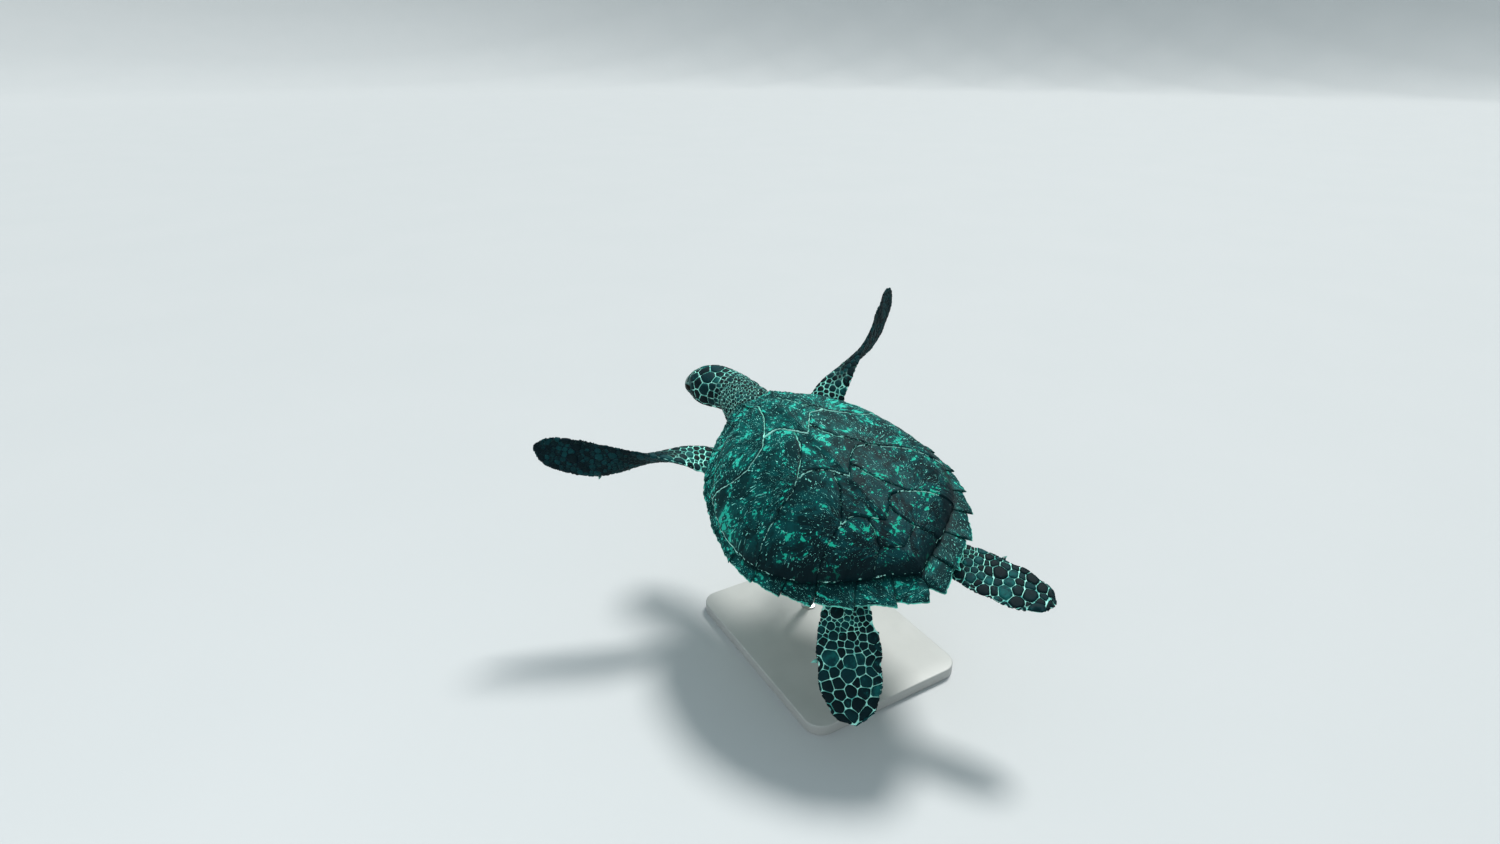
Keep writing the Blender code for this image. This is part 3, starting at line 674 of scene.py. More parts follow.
def plastron_finish() -> bpy.types.Material:
    """Cream horn with soft dark blotches, browner along the seams, which edge is the distance from.

    Returns:
        The material.
    """
    finish = Finish("plastron_horn", Colours.CREAM, Specular_IOR_Level=0.4)
    where, edge = finish.place(), finish.mark("edge")
    patches, grains = finish.noise(where, 16.0, 4.0, 0.6, 0.6), finish.noise(where, 180.0, 3.0)
    finish.cover(patches.between(0.35, 0.65), (0.46, 0.53, 0.36))
    finish.cover((patches + (grains - 0.5) * 0.1).between(0.60, 0.67) * 0.75, (0.03, 0.08, 0.065))
    finish.cover(edge.between(0.0025, 0.0008) * 0.6, (0.10, 0.14, 0.09))
    return finish.done(0.42 + grains * 0.2, grains * 0.4 + patches, 0.0008, 0.5)


def skin_finish() -> bpy.types.Material:
    """Skin between the scales: pale mint, nearly black far out on the front flippers.

    The points carry night, the share of darkness, and under, the share of the creamy underside.

    Returns:
        The material.
    """
    finish = Finish("scaled_skin", (0.10, 0.48, 0.43), Specular_IOR_Level=0.08)
    where, night, under = finish.place(), finish.mark("night"), finish.mark("under")
    patches, grains = finish.noise(where, 70.0, 3.0), finish.noise(where, 420.0, 3.0, 0.6)
    finish.cover(patches.between(0.34, 0.56), Colours.MINT)
    finish.cover(under * 0.75, (0.50, 0.60, 0.46))
    finish.cover(night, (0.0012, 0.0110, 0.0200))
    creases = finish.cells(where, 240.0).between(0.0, 0.10)
    height = creases * 0.6 + grains * 0.5 + patches * 0.5
    return finish.done(0.52 + grains * 0.2, height, 0.0007, 0.6)


def scale_finish() -> bpy.types.Material:
    """Dark horny scales with paler borders.

    The points carry tone, random for each scale, rim, the distance in from its outline in widths
    of its pale border, night for the darkest places, and under for the creamy underside.

    Returns:
        The material.
    """
    finish = Finish("scaled_skin_scales", Colours.NIGHT, Specular_IOR_Level=0.08)
    where = finish.place()
    tone, rim, night, under = (finish.mark(label) for label in ("tone", "rim", "night", "under"))
    patches, grains = finish.noise(where, 60.0, 3.0, 0.6, 0.4), finish.noise(where, 480.0, 3.0, 0.6)
    finish.cover((tone * 0.6 + patches * 0.5).between(0.35, 0.85), Colours.DEEP)
    finish.cover((tone + (patches - 0.5)).between(0.84, 1.10) * (0.7 - night * 0.65), Colours.SEA)
    finish.cover((patches + (grains - 0.5) * 0.3).between(0.60, 0.72) * (0.5 - night * 0.4), Colours.SEA)
    finish.cover(under * (0.25 + tone * 0.5), (0.40, 0.50, 0.38))
    border = (rim + (grains - 0.5) * 0.6).between(1.2, 0.5) * (1.0 - night * 0.95)
    finish.cover(border * 0.85, Colours.MINT)
    return finish.done(0.50 + grains * 0.25, patches * 0.5 + grains * 0.45, 0.0006, 0.6)


def horn_finish() -> bpy.types.Material:
    """Beak and claw horn: dark green-brown, paler towards the cutting edge and the tip.

    The points carry tip, the share of paleness, and pit, one inside a nostril, where the pit is painted near
    black as painted shade.

    Returns:
        The material.
    """
    worn = {"Specular_IOR_Level": 0.25, "Coat_IOR": 1.5, "Coat_Roughness": 0.2, "Coat_Weight": 0.12}
    finish = Finish("beak_horn", (0.002, 0.020, 0.024), **worn)
    where, tip, pit = finish.place(), finish.mark("tip"), finish.mark("pit")
    streaks = finish.noise(finish.scaled(where, (1.0, 1.0, 0.35)), 90.0, 4.0, 0.6, 0.5)
    grains = finish.noise(where, 500.0, 2.0)
    finish.cover((streaks + tip * 0.30).between(0.42, 0.85), (0.16, 0.50, 0.42))
    # Painted shade: the nostril pits are painted near black.
    finish.cover(pit, (0.001, 0.002, 0.002))
    return finish.done(0.30 + grains * 0.2, streaks + grains * 0.2, 0.0005, 0.5)


def eye_finish() -> bpy.types.Material:
    """A wet dark eye: black pupil, brown iris with fine spokes and a dark rim.

    The points carry gaze: the angle off the middle of the pupil and the angle round it.

    Returns:
        The material.
    """
    wet = {"Specular_IOR_Level": 0.04, "Coat_IOR": 1.4, "Coat_Roughness": 0.02, "Coat_Weight": 0.22}
    finish = Finish("eye_glass", (0.0018, 0.0024, 0.0018), **wet)
    gaze = finish.mark("gaze", "Vector")
    off = finish.node("ShaderNodeSeparateXYZ", None, {0: gaze})
    spokes = finish.noise(finish.scaled(gaze, (2.0, 9.0, 1.0)), 2.0, 3.0)
    finish.cover(spokes.between(0.35, 0.65), (0.0100, 0.0078, 0.0042))
    finish.cover(off.between(0.46, 0.40), (0.0004, 0.0005, 0.0006))
    finish.cover(off.between(0.66, 0.80), (0.002, 0.003, 0.003))
    return finish.done(0.12 + spokes * 0.1)


def paint_finish() -> bpy.types.Material:
    """Pale grey satin paint with a fine orange-peel grain.

    Returns:
        The material.
    """
    satin = {"Specular_IOR_Level": 0.5, "Coat_IOR": 1.45, "Coat_Roughness": 0.3, "Coat_Weight": 0.1}
    finish = Finish("stand_paint", (0.34, 0.35, 0.34), **satin)
    grains, cloud = finish.noise(finish.place(), 900.0, 2.0), finish.noise(finish.place(), 9.0, 3.0)
    finish.cover(cloud.between(0.3, 0.7), (0.38, 0.39, 0.38))
    return finish.done(0.40 + grains * 0.15, grains, 0.0002, 0.4)


def steel_finish() -> bpy.types.Material:
    """Brushed steel with fine lines round the rod.

    Returns:
        The material.
    """
    finish = Finish("stand_steel", (0.50, 0.51, 0.52), Metallic=1.0)
    where = finish.place()
    lines = finish.noise(finish.scaled(where, (30.0, 30.0, 2600.0)), 1.0, 3.0)
    cloud = finish.noise(where, 40.0, 3.0)
    finish.cover(cloud.between(0.3, 0.7), (0.62, 0.63, 0.64))
    return finish.done(0.22 + lines * 0.18 + cloud * 0.06, lines, 0.0001, 0.5)


def floor_finish() -> bpy.types.Material:
    """A plain pale floor.

    Returns:
        The material.
    """
    finish = Finish("studio_floor", (0.46, 0.475, 0.485), Specular_IOR_Level=0.3)
    finish.cover(finish.noise(finish.place(), 1.5, 2.0), (0.48, 0.49, 0.50))
    return finish.done(0.8)


# Shell


@dataclass(frozen=True)
class ShellPlan:
    """Outlines and heights of the shell, in shares of its length, as they stand in the solids."""

    margin_rows: tuple[tuple[tuple[float, float], tuple[float, float]], ...] = (
        ((0.070, -0.030), (0.038, 0.067)),
        ((0.140, 0.000), (0.134, 0.078)),
        ((0.243, 0.060), (0.216, 0.108)),
        ((0.325, 0.150), (0.290, 0.170)),
        ((0.366, 0.245), (0.345, 0.258)),
        ((0.396, 0.360), (0.376, 0.365)),
        ((0.412, 0.490), (0.385, 0.485)),
        ((0.394, 0.608), (0.364, 0.600)),
        ((0.352, 0.708), (0.318, 0.690)),
        ((0.296, 0.799), (0.256, 0.765)),
        ((0.210, 0.884), (0.163, 0.833)),
        ((0.105, 0.943), (0.070, 0.885)),
        ((0.027, 1.000), (0.000, 0.923)),
    )
    first_tooth: int = 4
    tooth_depth: float = 0.026
    notch_y: float = 0.962
    notch_start: float = 0.7
    rim_knots: Knots = (
        (-0.03, 0.122), (0.0, 0.090), (0.06, 0.044), (0.15, 0.015), (0.25, -0.003), (0.36, -0.014),
        (0.49, -0.017), (0.61, -0.008), (0.71, 0.0), (0.81, 0.010), (0.90, 0.024), (1.0, 0.020),
    )
    gutter_knots: Knots = (
        (0.066, 0.158), (0.08, 0.126), (0.11, 0.084), (0.2, 0.036), (0.35, 0.015), (0.5, 0.011),
        (0.65, 0.022), (0.78, 0.048), (0.88, 0.064), (0.93, 0.063),
    )
    ridge_knots: Knots = (
        (0.066, 0.168), (0.15, 0.190), (0.3, 0.202), (0.5, 0.195), (0.7, 0.157), (0.85, 0.108),
        (0.93, 0.069),
    )
    shelf_knots: Knots = ((0.0, 0.002), (0.5, 0.003), (0.75, 0.010), (0.93, 0.014))
    dome_across: float = 2.2
    dome_power: float = 0.8
    sway_size: float = 0.0016
    sway_waves: tuple[tuple[tuple[float, float, float, float], ...], ...] = (
        ((1.0, 61, 23, 1.0), (0.7, -47, 113, 2.1), (0.45, 211, 157, 0.0)),
        ((1.0, -31, 57, 0.4), (0.7, 127, 39, 4.0), (0.45, -149, 223, 0.0)),
    )
    plate_thick: float = 0.008
    overlap_lift: float = 0.007
    shelf_thick: float = 0.014
    rim_thick: float = 0.006
    side_rows: tuple[float, ...] = (3.95, 6.85, 8.95, 10.4)
    corners: Knots = ((0.118, 0.262), (0.135, 0.492), (0.123, 0.703), (0.068, 0.815))
    tips: Knots = ((0.0, 0.346), (0.0, 0.576), (0.0, 0.757), (0.0, 0.850))
    flanks: Knots = ((0.030, 0.308), (0.030, 0.538), (0.040, 0.725))
    flank_bends: Knots = ((0.065, 0.262), (0.080, 0.492), (0.072, 0.698))
    crown_bends: Knots = ((0.062, 0.160), (0.060, 0.395), (0.068, 0.630), (0.048, 0.770))
    side_bends: tuple[Knots, ...] = (
        ((0.165, 0.300), (0.250, 0.318)),
        ((0.180, 0.518), (0.280, 0.550)),
        ((0.163, 0.714), (0.225, 0.742)),
        ((0.095, 0.835),),
    )

    def __post_init__(self) -> None:
        """Prepares the curves that the knots stand for."""
        shape = {
            "rim_row": Path([row[0] for row in self.margin_rows]),
            "gutter_row": Path([row[1] for row in self.margin_rows]),
            "rim_height": Profile(self.rim_knots),
            "gutter_height": Profile(self.gutter_knots),
            "ridge_height": Profile(self.ridge_knots),
            "shelf_step": Profile(self.shelf_knots),
        }
        for label, curve in shape.items():
            object.__setattr__(self, label, curve)
        object.__setattr__(self, "gutter_line", self.gutter_row(np.linspace(0, self.last_row, 480)))

    @property
    def last_row(self) -> int:
        """Number of the last row, at the rear notch."""
        return len(self.margin_rows) - 1

    def dome(self, x: Array, y: Array) -> Array:
        """Height of the dome: the gutter's height plus the ridge's rise times (1 - s^2.2)^0.8, s across.

        Args:
            x: Places to the left.
            y: Places along the shell.

        Returns:
            The height at each place.
        """
        width = np.maximum(np.interp(y, self.gutter_line[:, 1], self.gutter_line[:, 0], right=0.0), 1e-6)
        across = np.clip(np.abs(x) / width, 0, 1)
        rise = (1 - across**self.dome_across) ** self.dome_power
        return self.gutter_height(y) + (self.ridge_height(y) - self.gutter_height(y)) * rise

    def gutter_gap(self, points: Array) -> Array:
        """Distance of plan points from the gutter."""
        return outline_distance(points, np.vstack([self.gutter_line, mirrored(self.gutter_line)]))

    def sway(self, points: Array) -> Array:
        """Shell points moved a little in plan, so that seams wander together.

        Each way's move is a sum of sines of x and y, given as size, turns along x and y, and start.

        Args:
            points: Points in the turtle's frame.

        Returns:
            The moved points.
        """
        x, y = points[..., 0], points[..., 1]
        aside, along = (
            sum(size * np.sin(by_x * x + by_y * y + start) for size, by_x, by_y, start in waves)
            for waves in self.sway_waves
        )
        return points + self.sway_size * np.stack([aside, along, np.zeros_like(x)], -1)


def evenly(line: Array, spacing: float) -> Array:
    """A plan line with its ends kept and its points spread evenly, about spacing apart."""
    reach = travelled(line)
    return columns_at(np.linspace(0, reach[-1], max(2, round(reach[-1] / spacing)) + 1), reach, line)


def chained(lines: Sequence[Array]) -> Array:
    """Lines joined end to end into one closed outline, without the points that two lines share."""
    return np.vstack([line[:-1] for line in lines])


def mirrored(line: Array) -> Array:
    """The same plan line on the right side, walked the other way."""
    return line[::-1] * (-1, 1)


def outline_distance(points: Array, outline: Array) -> Array:
    """Distance of each plan point from a closed outline, segment by segment, taking the least.

    Args:
        points: Plan points.
        outline: A closed outline of plan points.

    Returns:
        The distance of each point.
    """
    flat = points.reshape(-1, 1, 2)
    start, way = outline[None], (np.roll(outline, -1, 0) - outline)[None]
    share = np.clip(((flat - start) * way).sum(-1) / np.maximum((way**2).sum(-1), 1e-12), 0, 1)
    gaps = np.linalg.norm(flat - start - share[..., None] * way, axis=-1)
    return gaps.min(1).reshape(points.shape[:-1])


def grain(turned: Array, away: Array, number: int) -> Array:
    """What a plate's pattern follows.

    Args:
        turned: Angle round the growth point.
        away: Way from the growth point.
        number: The plate's number.

    Returns:
        The angle, the distance and the number, as a last axis of three.
    """
    reach = np.linalg.norm(away, axis=-1)
    return np.stack([turned, reach, np.full_like(reach, number)], -1)


def painted_front_light(rows: Array) -> Array:
    """Nearness to the front of the shell: the share of painted light, lighter towards the front."""
    return ease(rows, 0.85, 0.00)


@dataclass
class LargePlate:
    """One vertebral or costal plate: a domed sheet of horn, lifted over the plate behind."""

    name: str
    outline: Array
    growth: Array
    number: int
    keeled: bool
    rings: int = 24
    innermost: float = 0.985
    crowding: float = 1.6
    round_edge: float = 0.007
    edge_fall: float = 0.8
    overhang: float = 0.006
    keel: tuple[float, float] = (0.005, 0.016)
    wave_height: float = 0.0008
    hidden_edge: float = 0.03

    def sheet(self, plan: ShellPlan) -> Sheet:
        """The plate's surface.

        Rings shrink from the outline to its middle, closer together near the edge. The top is the
        dome plus a lift that grows towards the rear. It falls to the wall by a quarter circle.

        Args:
            plan: The shell's shapes.

        Returns:
            The closed plate in the turtle's frame.
        """
        outline, middle = self.outline, self.outline.mean(0)
        shares = 1 - np.linspace(0, self.innermost, self.rings) ** self.crowding
        flat = middle + shares[:, None, None] * (outline - middle)
        x, y = flat[..., 0], flat[..., 1]
        front, rear = outline[:, 1].min(), outline[:, 1].max()
        rearward = (y - front) / (rear - front)
        edge = outline_distance(flat, outline)
        corner = np.clip(1 - edge / self.round_edge, 0, 1)
        fall = self.edge_fall * plan.plate_thick * (1 - np.sqrt(1 - corner**2))
        keel = self.keel[0] * bell(x, 0, self.keel[1]) * ease(edge, 0.0, 0.03) * self.keeled
        waves = self.wave_height * np.sin(70 * x + 2.0 * self.number) * np.sin(64 * y + self.number)
        top = plan.dome(x, y) + plan.overlap_lift * rearward + keel + waves * ease(edge, 0.0, 0.02) - fall
        lapped = y + self.overhang * rearward**4
        upper = np.stack([x, lapped, top], -1)
        lower = np.stack([x[0], lapped[0], plan.dome(x[0], y[0]) - plan.plate_thick], -1)
        over, across = (np.linalg.norm(np.diff(grid, axis=0), axis=-1).cumsum(0) for grid in (upper, flat))
        edge[1:] *= over / across
        points = plan.sway(np.concatenate([lower[None], upper]))
        away = np.concatenate([flat[:1], flat]) - self.growth
        heading = np.array([0.0, -1.0]) if self.keeled else unit(middle - self.growth)
        turned = np.arctan2(away @ np.array([-heading[1], heading[0]]), away @ heading)
        rows = points[..., 1]
        marks = {
            "edge": np.concatenate([np.full_like(edge[:1], self.hidden_edge), edge]) * PLACE.shell_length,
            "grain": grain(turned, away, self.number),
            "rim": np.zeros(points.shape[:2]),
            # front: the share of painted light, more towards the shell's front.
            "front": painted_front_light(rows),
            # shade: the share of the painted shadow by the rear gutter.
            "shade": ease(plan.gutter_gap(points[..., :2]), 0.040, 0.006) * ease(rows, 0.40, 0.65),
        }
        return Sheet.loft(points, marks)


@dataclass
class MarginPlate:
    """One plate of the rim: a wedge from under the dome out to a thin, pale-edged, toothed rim."""

    name: str
    gutter: Array
    rim: Array
    lift: Array
    number: int
    across: int = 16
    round_start: float = 0.86
    puff: float = 0.0035
    end_shrink: float = 0.22
    end_share: float = 0.045
    pale_start: float = 0.80
    growth_reach: float = 0.15

    def sheet(self, plan: ShellPlan) -> Sheet:
        """The plate's surface: a row of closed sections from its front seam to its rear one.

        Each section runs out along the top, round the thin rim and back underneath. The ends are
        rounded by shrinking the first and last sections a little towards their middles.

        Args:
            plan: The shell's shapes.

        Returns:
            The closed plate in the turtle's frame.
        """
        out = np.sin(np.linspace(0, math.pi / 2, self.across))
        share = np.concatenate([out, out[-2::-1]])
        on_top = np.arange(len(share)) < self.across

        def between(inner: Array, outer: Array) -> Array:
            """Values that run from the gutter's to the rim's, section by section."""
            return inner[:, None] * (1 - share) + outer[:, None] * share

        inner = plan.gutter_height(self.gutter[:, 1]) - plan.shelf_step(self.gutter[:, 1])
        outer = plan.rim_height(self.rim[:, 1])
        flat = np.stack([between(self.gutter[:, k], self.rim[:, k]) for k in range(2)], -1)
        top = between(inner, outer + self.lift)
        bottom = between(inner - plan.shelf_thick, outer - plan.rim_thick)
        middle, half = (top + bottom) / 2, (top - bottom) / 2
        rounded = np.sqrt(1 - np.clip((share - self.round_start) / (1 - self.round_start), 0, 1) ** 2)
        puff = self.puff * np.sin(math.pi * share) ** 0.7
        height = middle + np.where(on_top, half + puff, -half) * rounded
        u = np.linspace(0, 1, len(self.gutter))
        seam = np.minimum(u, 1 - u)
        shrink = 1 - self.end_shrink * np.clip(1 - seam / self.end_share, 0, 1) ** 2
        centre = np.dstack([flat, middle])
        points = centre + (np.dstack([flat, height]) - centre) * shrink[:, None, None]
        width = np.linalg.norm(self.rim - self.gutter, axis=1)
        length = travelled(self.rim)[-1]
        edge = np.minimum((seam * length)[:, None], width[:, None] * (1 - share) + 0.004)
        edge = edge + 0.005 + 0.01 * ~on_top
        away = flat - (self.rim[-1] + self.growth_reach * (self.rim[-1] - self.rim[0]))
        rows = points[..., 1]
        pale = np.clip((share - self.pale_start) / (1 - self.pale_start), 0, 1)
        marks = {
            "edge": edge * PLACE.shell_length,
            "grain": grain(np.arctan2(away[..., 0], -away[..., 1]), away, self.number),
            "rim": np.broadcast_to(pale, height.shape),
            # front: the share of painted light, half on every rim plate and more towards the front.
            "front": 0.50 + 0.50 * painted_front_light(rows),
            # shade: the share of the painted shadow by the rear gutter.
            "shade": ease(plan.gutter_gap(points[..., :2]), 0.016, 0.004) * ease(rows, 0.35, 0.60),
        }
        return Sheet.loft(plan.sway(points), marks)


@dataclass
class Shell:
    """All plates of the shell."""

    plan: ShellPlan = field(default_factory=ShellPlan)
    spacing: float = 0.0045
    seam: float = 0.006
    tuck: float = 0.010
    nick: float = 0.0012

    def line(self, *points: Array | tuple[float, float]) -> Array:
        """A dense plan curve through points."""
        return evenly(Path(points).sampled(20 * (len(points) - 1) + 1), self.spacing)

    def gutter(self, first: float, last: float) -> Array:
        """A dense stretch of the gutter between two rows."""
        return evenly(self.plan.gutter_row(np.linspace(first, last, 80)), self.spacing)

    def large_plates(self) -> list[LargePlate]:
        """Five vertebral plates and four costal plates a side.

        Each outline is chained from seams that neighbours share. A vertebral plate is its left
        half and the same mirrored.

        Returns:
            The plates.
        """
        plan, line = self.plan, self.line
        corners, flanks, tips, bends = plan.corners, plan.flanks, plan.tips, plan.crown_bends
        start = plan.gutter_row(0.0)
        crown = [line(start, bends[0], corners[0])]
        crown += [line(flanks[k], bends[k + 1], corners[k + 1]) for k in range(3)]
        outer = [line(corners[k], plan.flank_bends[k], flanks[k]) for k in range(3)]
        inner = [line(flanks[k], tips[k]) for k in range(3)] + [line(corners[3], tips[3])]
        sides = [line(corners[k], *plan.side_bends[k], plan.gutter_row(plan.side_rows[k])) for k in range(4)]
        rows = (0, *plan.side_rows)
        gutters = [self.gutter(a, b) for a, b in zip(rows[:-1], rows[1:])]
        front = evenly(np.vstack([start, (0.0, start[1])]), self.spacing)
        halves = [[front[::-1], crown[0], outer[0], inner[0]]]
        halves += [[inner[k - 1][::-1], crown[k], outer[k], inner[k]] for k in (1, 2)]
        halves += [[inner[2][::-1], crown[3], inner[3]]]
        halves += [[inner[3][::-1], sides[3], self.gutter(plan.side_rows[3], plan.last_row)]]
        backs = [*tips, (0.0, plan.gutter_row(float(plan.last_row))[1])]
        plates = []
        for k, (half, back) in enumerate(zip(halves, backs), 1):
            outline = chained([*half, *[mirrored(part) for part in half[::-1]]])
            plates.append(LargePlate(f"vertebral_{k}", outline, np.array(back) + (0, 0.02), k, True))
        costals = [chained([crown[0], sides[0], gutters[0][::-1]])]
        for k in (1, 2, 3):
            costals.append(chained([sides[k - 1][::-1], outer[k - 1], crown[k], sides[k], gutters[k][::-1]]))
        for k, outline in enumerate(costals, 1):
            growth = np.array(corners[k - 1]) + (-0.01, 0.02)
            plates.append(LargePlate(f"costal_left_{k}", outline, growth, 10 + k, False))
            outline, growth = mirrored(outline), growth * (-1, 1)
            plates.append(LargePlate(f"costal_right_{k}", outline, growth, 20 + k, False))
        return plates

    def edges(self, k: int, u: Array) -> tuple[Array, Array]:
        """The gutter and the rim of a marginal plate.

        The rim ends in a tooth that grows towards the rear. The last plate's turns in to the notch.

        Args:
            k: Number of the plate, from 1 at the front.
            u: Shares from its front seam to its rear one.

        Returns:
            Plan points of the two lines.
        """
        plan = self.plan
        gutter, rim = plan.gutter_row(k - 1 + u), plan.rim_row(k - 1 + u)
        if k < plan.last_row:
            corner = np.array(plan.margin_rows[k])
            depth = plan.tooth_depth * max(k - plan.first_tooth, 0) / (plan.last_row - plan.first_tooth)
            return gutter, rim + depth * (u**2)[:, None] * unit(corner[0] - corner[1])
        tip, notch = np.array(plan.margin_rows[-1][0]), np.array((0.0, plan.notch_y))
        to_tip = u / plan.notch_start
        back = np.clip((u - plan.notch_start) / (1 - plan.notch_start), 0, 1)[:, None]
        rim = plan.rim_row(k - 1 + np.minimum(to_tip, 1)) + back * (notch - tip)
        return gutter, rim + 0.004 * np.sin(math.pi * np.clip(to_tip, 0, 1))[:, None]

    def margin_plates(self) -> list[MarginPlate]:
        """Twelve marginal plates a side and the nuchal plate.

        Returns:
            The plates.
        """
        plates = []
        u = np.linspace(self.seam, 1 - self.seam, 26)
        for k in range(1, self.plan.last_row + 1):
            gutter, rim = self.edges(k, u)
            nicks = self.nick * np.sin(37 * u + k) * np.sin(11 * u + 2 * k)
            rim = rim + nicks[:, None] * unit(rim - gutter)
            gutter = gutter - self.tuck * unit(rim - gutter)
            lift = self.plan.overlap_lift / 2 * u**2
            for side, flip, first in (("left", 1, 30), ("right", -1, 50)):
                name = f"marginal_{side}_{k:02d}"
                plates.append(MarginPlate(name, gutter * (flip, 1), rim * (flip, 1), lift, first + k))
        rim_corner, gutter_corner = np.array(self.plan.margin_rows[0])
        across = np.linspace(-1, 1, 36)[:, None] * (1 - self.seam)
        rim = np.hstack([across * rim_corner[0], rim_corner[1] + 0.006 * (1 - across**2)])
        gutter = np.hstack([across * gutter_corner[0], np.full_like(across, gutter_corner[1] + 0.004)])
        plates.append(MarginPlate("nuchal", gutter, rim, np.zeros(len(rim)), 29))
        return plates

    def build(self, material: bpy.types.Material) -> None:
        """Makes every plate in place of its node.

        Args:
            material: Their finish.
        """
        for plate in [*self.large_plates(), *self.margin_plates()]:
            sheet = plate.sheet(self.plan).placed()
            piece(f"{plate.name}_horn", sheet, material, Slot.SHELL, [plate.name], 50)


# Flesh

MM = 0.001 / PLACE.shell_length


class Tube:
    """A closed tube of rings as a surface of p, from its first ring to its last, and q, once round.

    Places on it have a last axis of two: p and q.
    """

    def __init__(self, rings: Array, columns: int) -> None:
        """Spreads each ring's points evenly round it and works out the outward normals.

        Args:
            rings: Closed rings, as ring by point by three.
            columns: Points round each ring of the finished tube.
        """
        shares = np.arange(columns) / columns
        even = []
        for ring in np.concatenate([rings, rings[:, :1]], 1):
            reach = travelled(ring)
            even.append(columns_at(shares * reach[-1], reach, ring))
        self.rings = np.stack(even)
        self.rows, self.columns = self.rings.shape[:2]
        along = np.gradient(self.rings, axis=0)
        around = (np.roll(self.rings, -1, 1) - np.roll(self.rings, 1, 1)) / 2
        lengths = [np.linalg.norm(step, axis=2) for step in (along, around)]
        self.spans = np.stack([lengths[0] * (self.rows - 1), lengths[1] * self.columns], -1)
        normals = unit(np.cross(along, around))
        centre = self.rings.mean(1, keepdims=True)
        outward = np.sign(((self.rings - centre) * normals).sum(-1).mean(1))
        self.normals = normals * np.where(outward == 0, 1, outward)[:, None, None]

    def look(self, table: Array, places: Array) -> Array:
        """A table's values at places, between its four nearest entries.

        Args:
            table: Values, as ring by point with a last axis.
            places: Places on the tube.

        Returns:
            The values.
        """
        r = np.clip(places[..., 0], 0, 1) * (self.rows - 1)
        i = np.clip(np.floor(r).astype(int), 0, self.rows - 2)
        c = np.mod(places[..., 1], 1) * self.columns
        j = np.floor(c).astype(int) % self.columns
        f, g, k = (r - i)[..., None], (c - np.floor(c))[..., None], (j + 1) % self.columns
        low, high = (table[row, j] * (1 - g) + table[row, k] * g for row in (i, i + 1))
        return low * (1 - f) + high * f

    def at(self, places: Array) -> tuple[Array, Array]:
        """Points and outward unit normals at places."""
        return self.look(self.rings, places), unit(self.look(self.normals, places))

    def stretch(self, places: Array) -> Array:
        """Lengths that one unit of p and one of q stand for at places."""
        return self.look(self.spans, places)

    def sheet(self, depth: float) -> Sheet:
        """The tube as a closed surface that lies a depth inside itself."""
        return Sheet.loft(self.rings - depth * self.normals)


def superellipse(count: int, squareness: float, start: float = 0.0) -> tuple[Array, Array]:
    """Signed powers of the cosine and sine round a ring, from a starting angle in radians."""
    turn = start + angles(count)
    return signed_power(np.cos(turn), squareness), signed_power(np.sin(turn), squareness)


def ringed(points: Array, aside: Array, left: Array, rise: Array, up: Array) -> Array:
    """Closed rings round the points of a line.

    Args:
        points: One point for each ring.
        aside: How far each ring's points lie along left.
        left: A direction for each ring.
        rise: How far each ring's points lie along up.
        up: Another direction for each ring.

    Returns:
        Points, as ring by point by three.
    """
    return points[:, None] + aside[..., None] * left[:, None] + rise[..., None] * up[:, None]


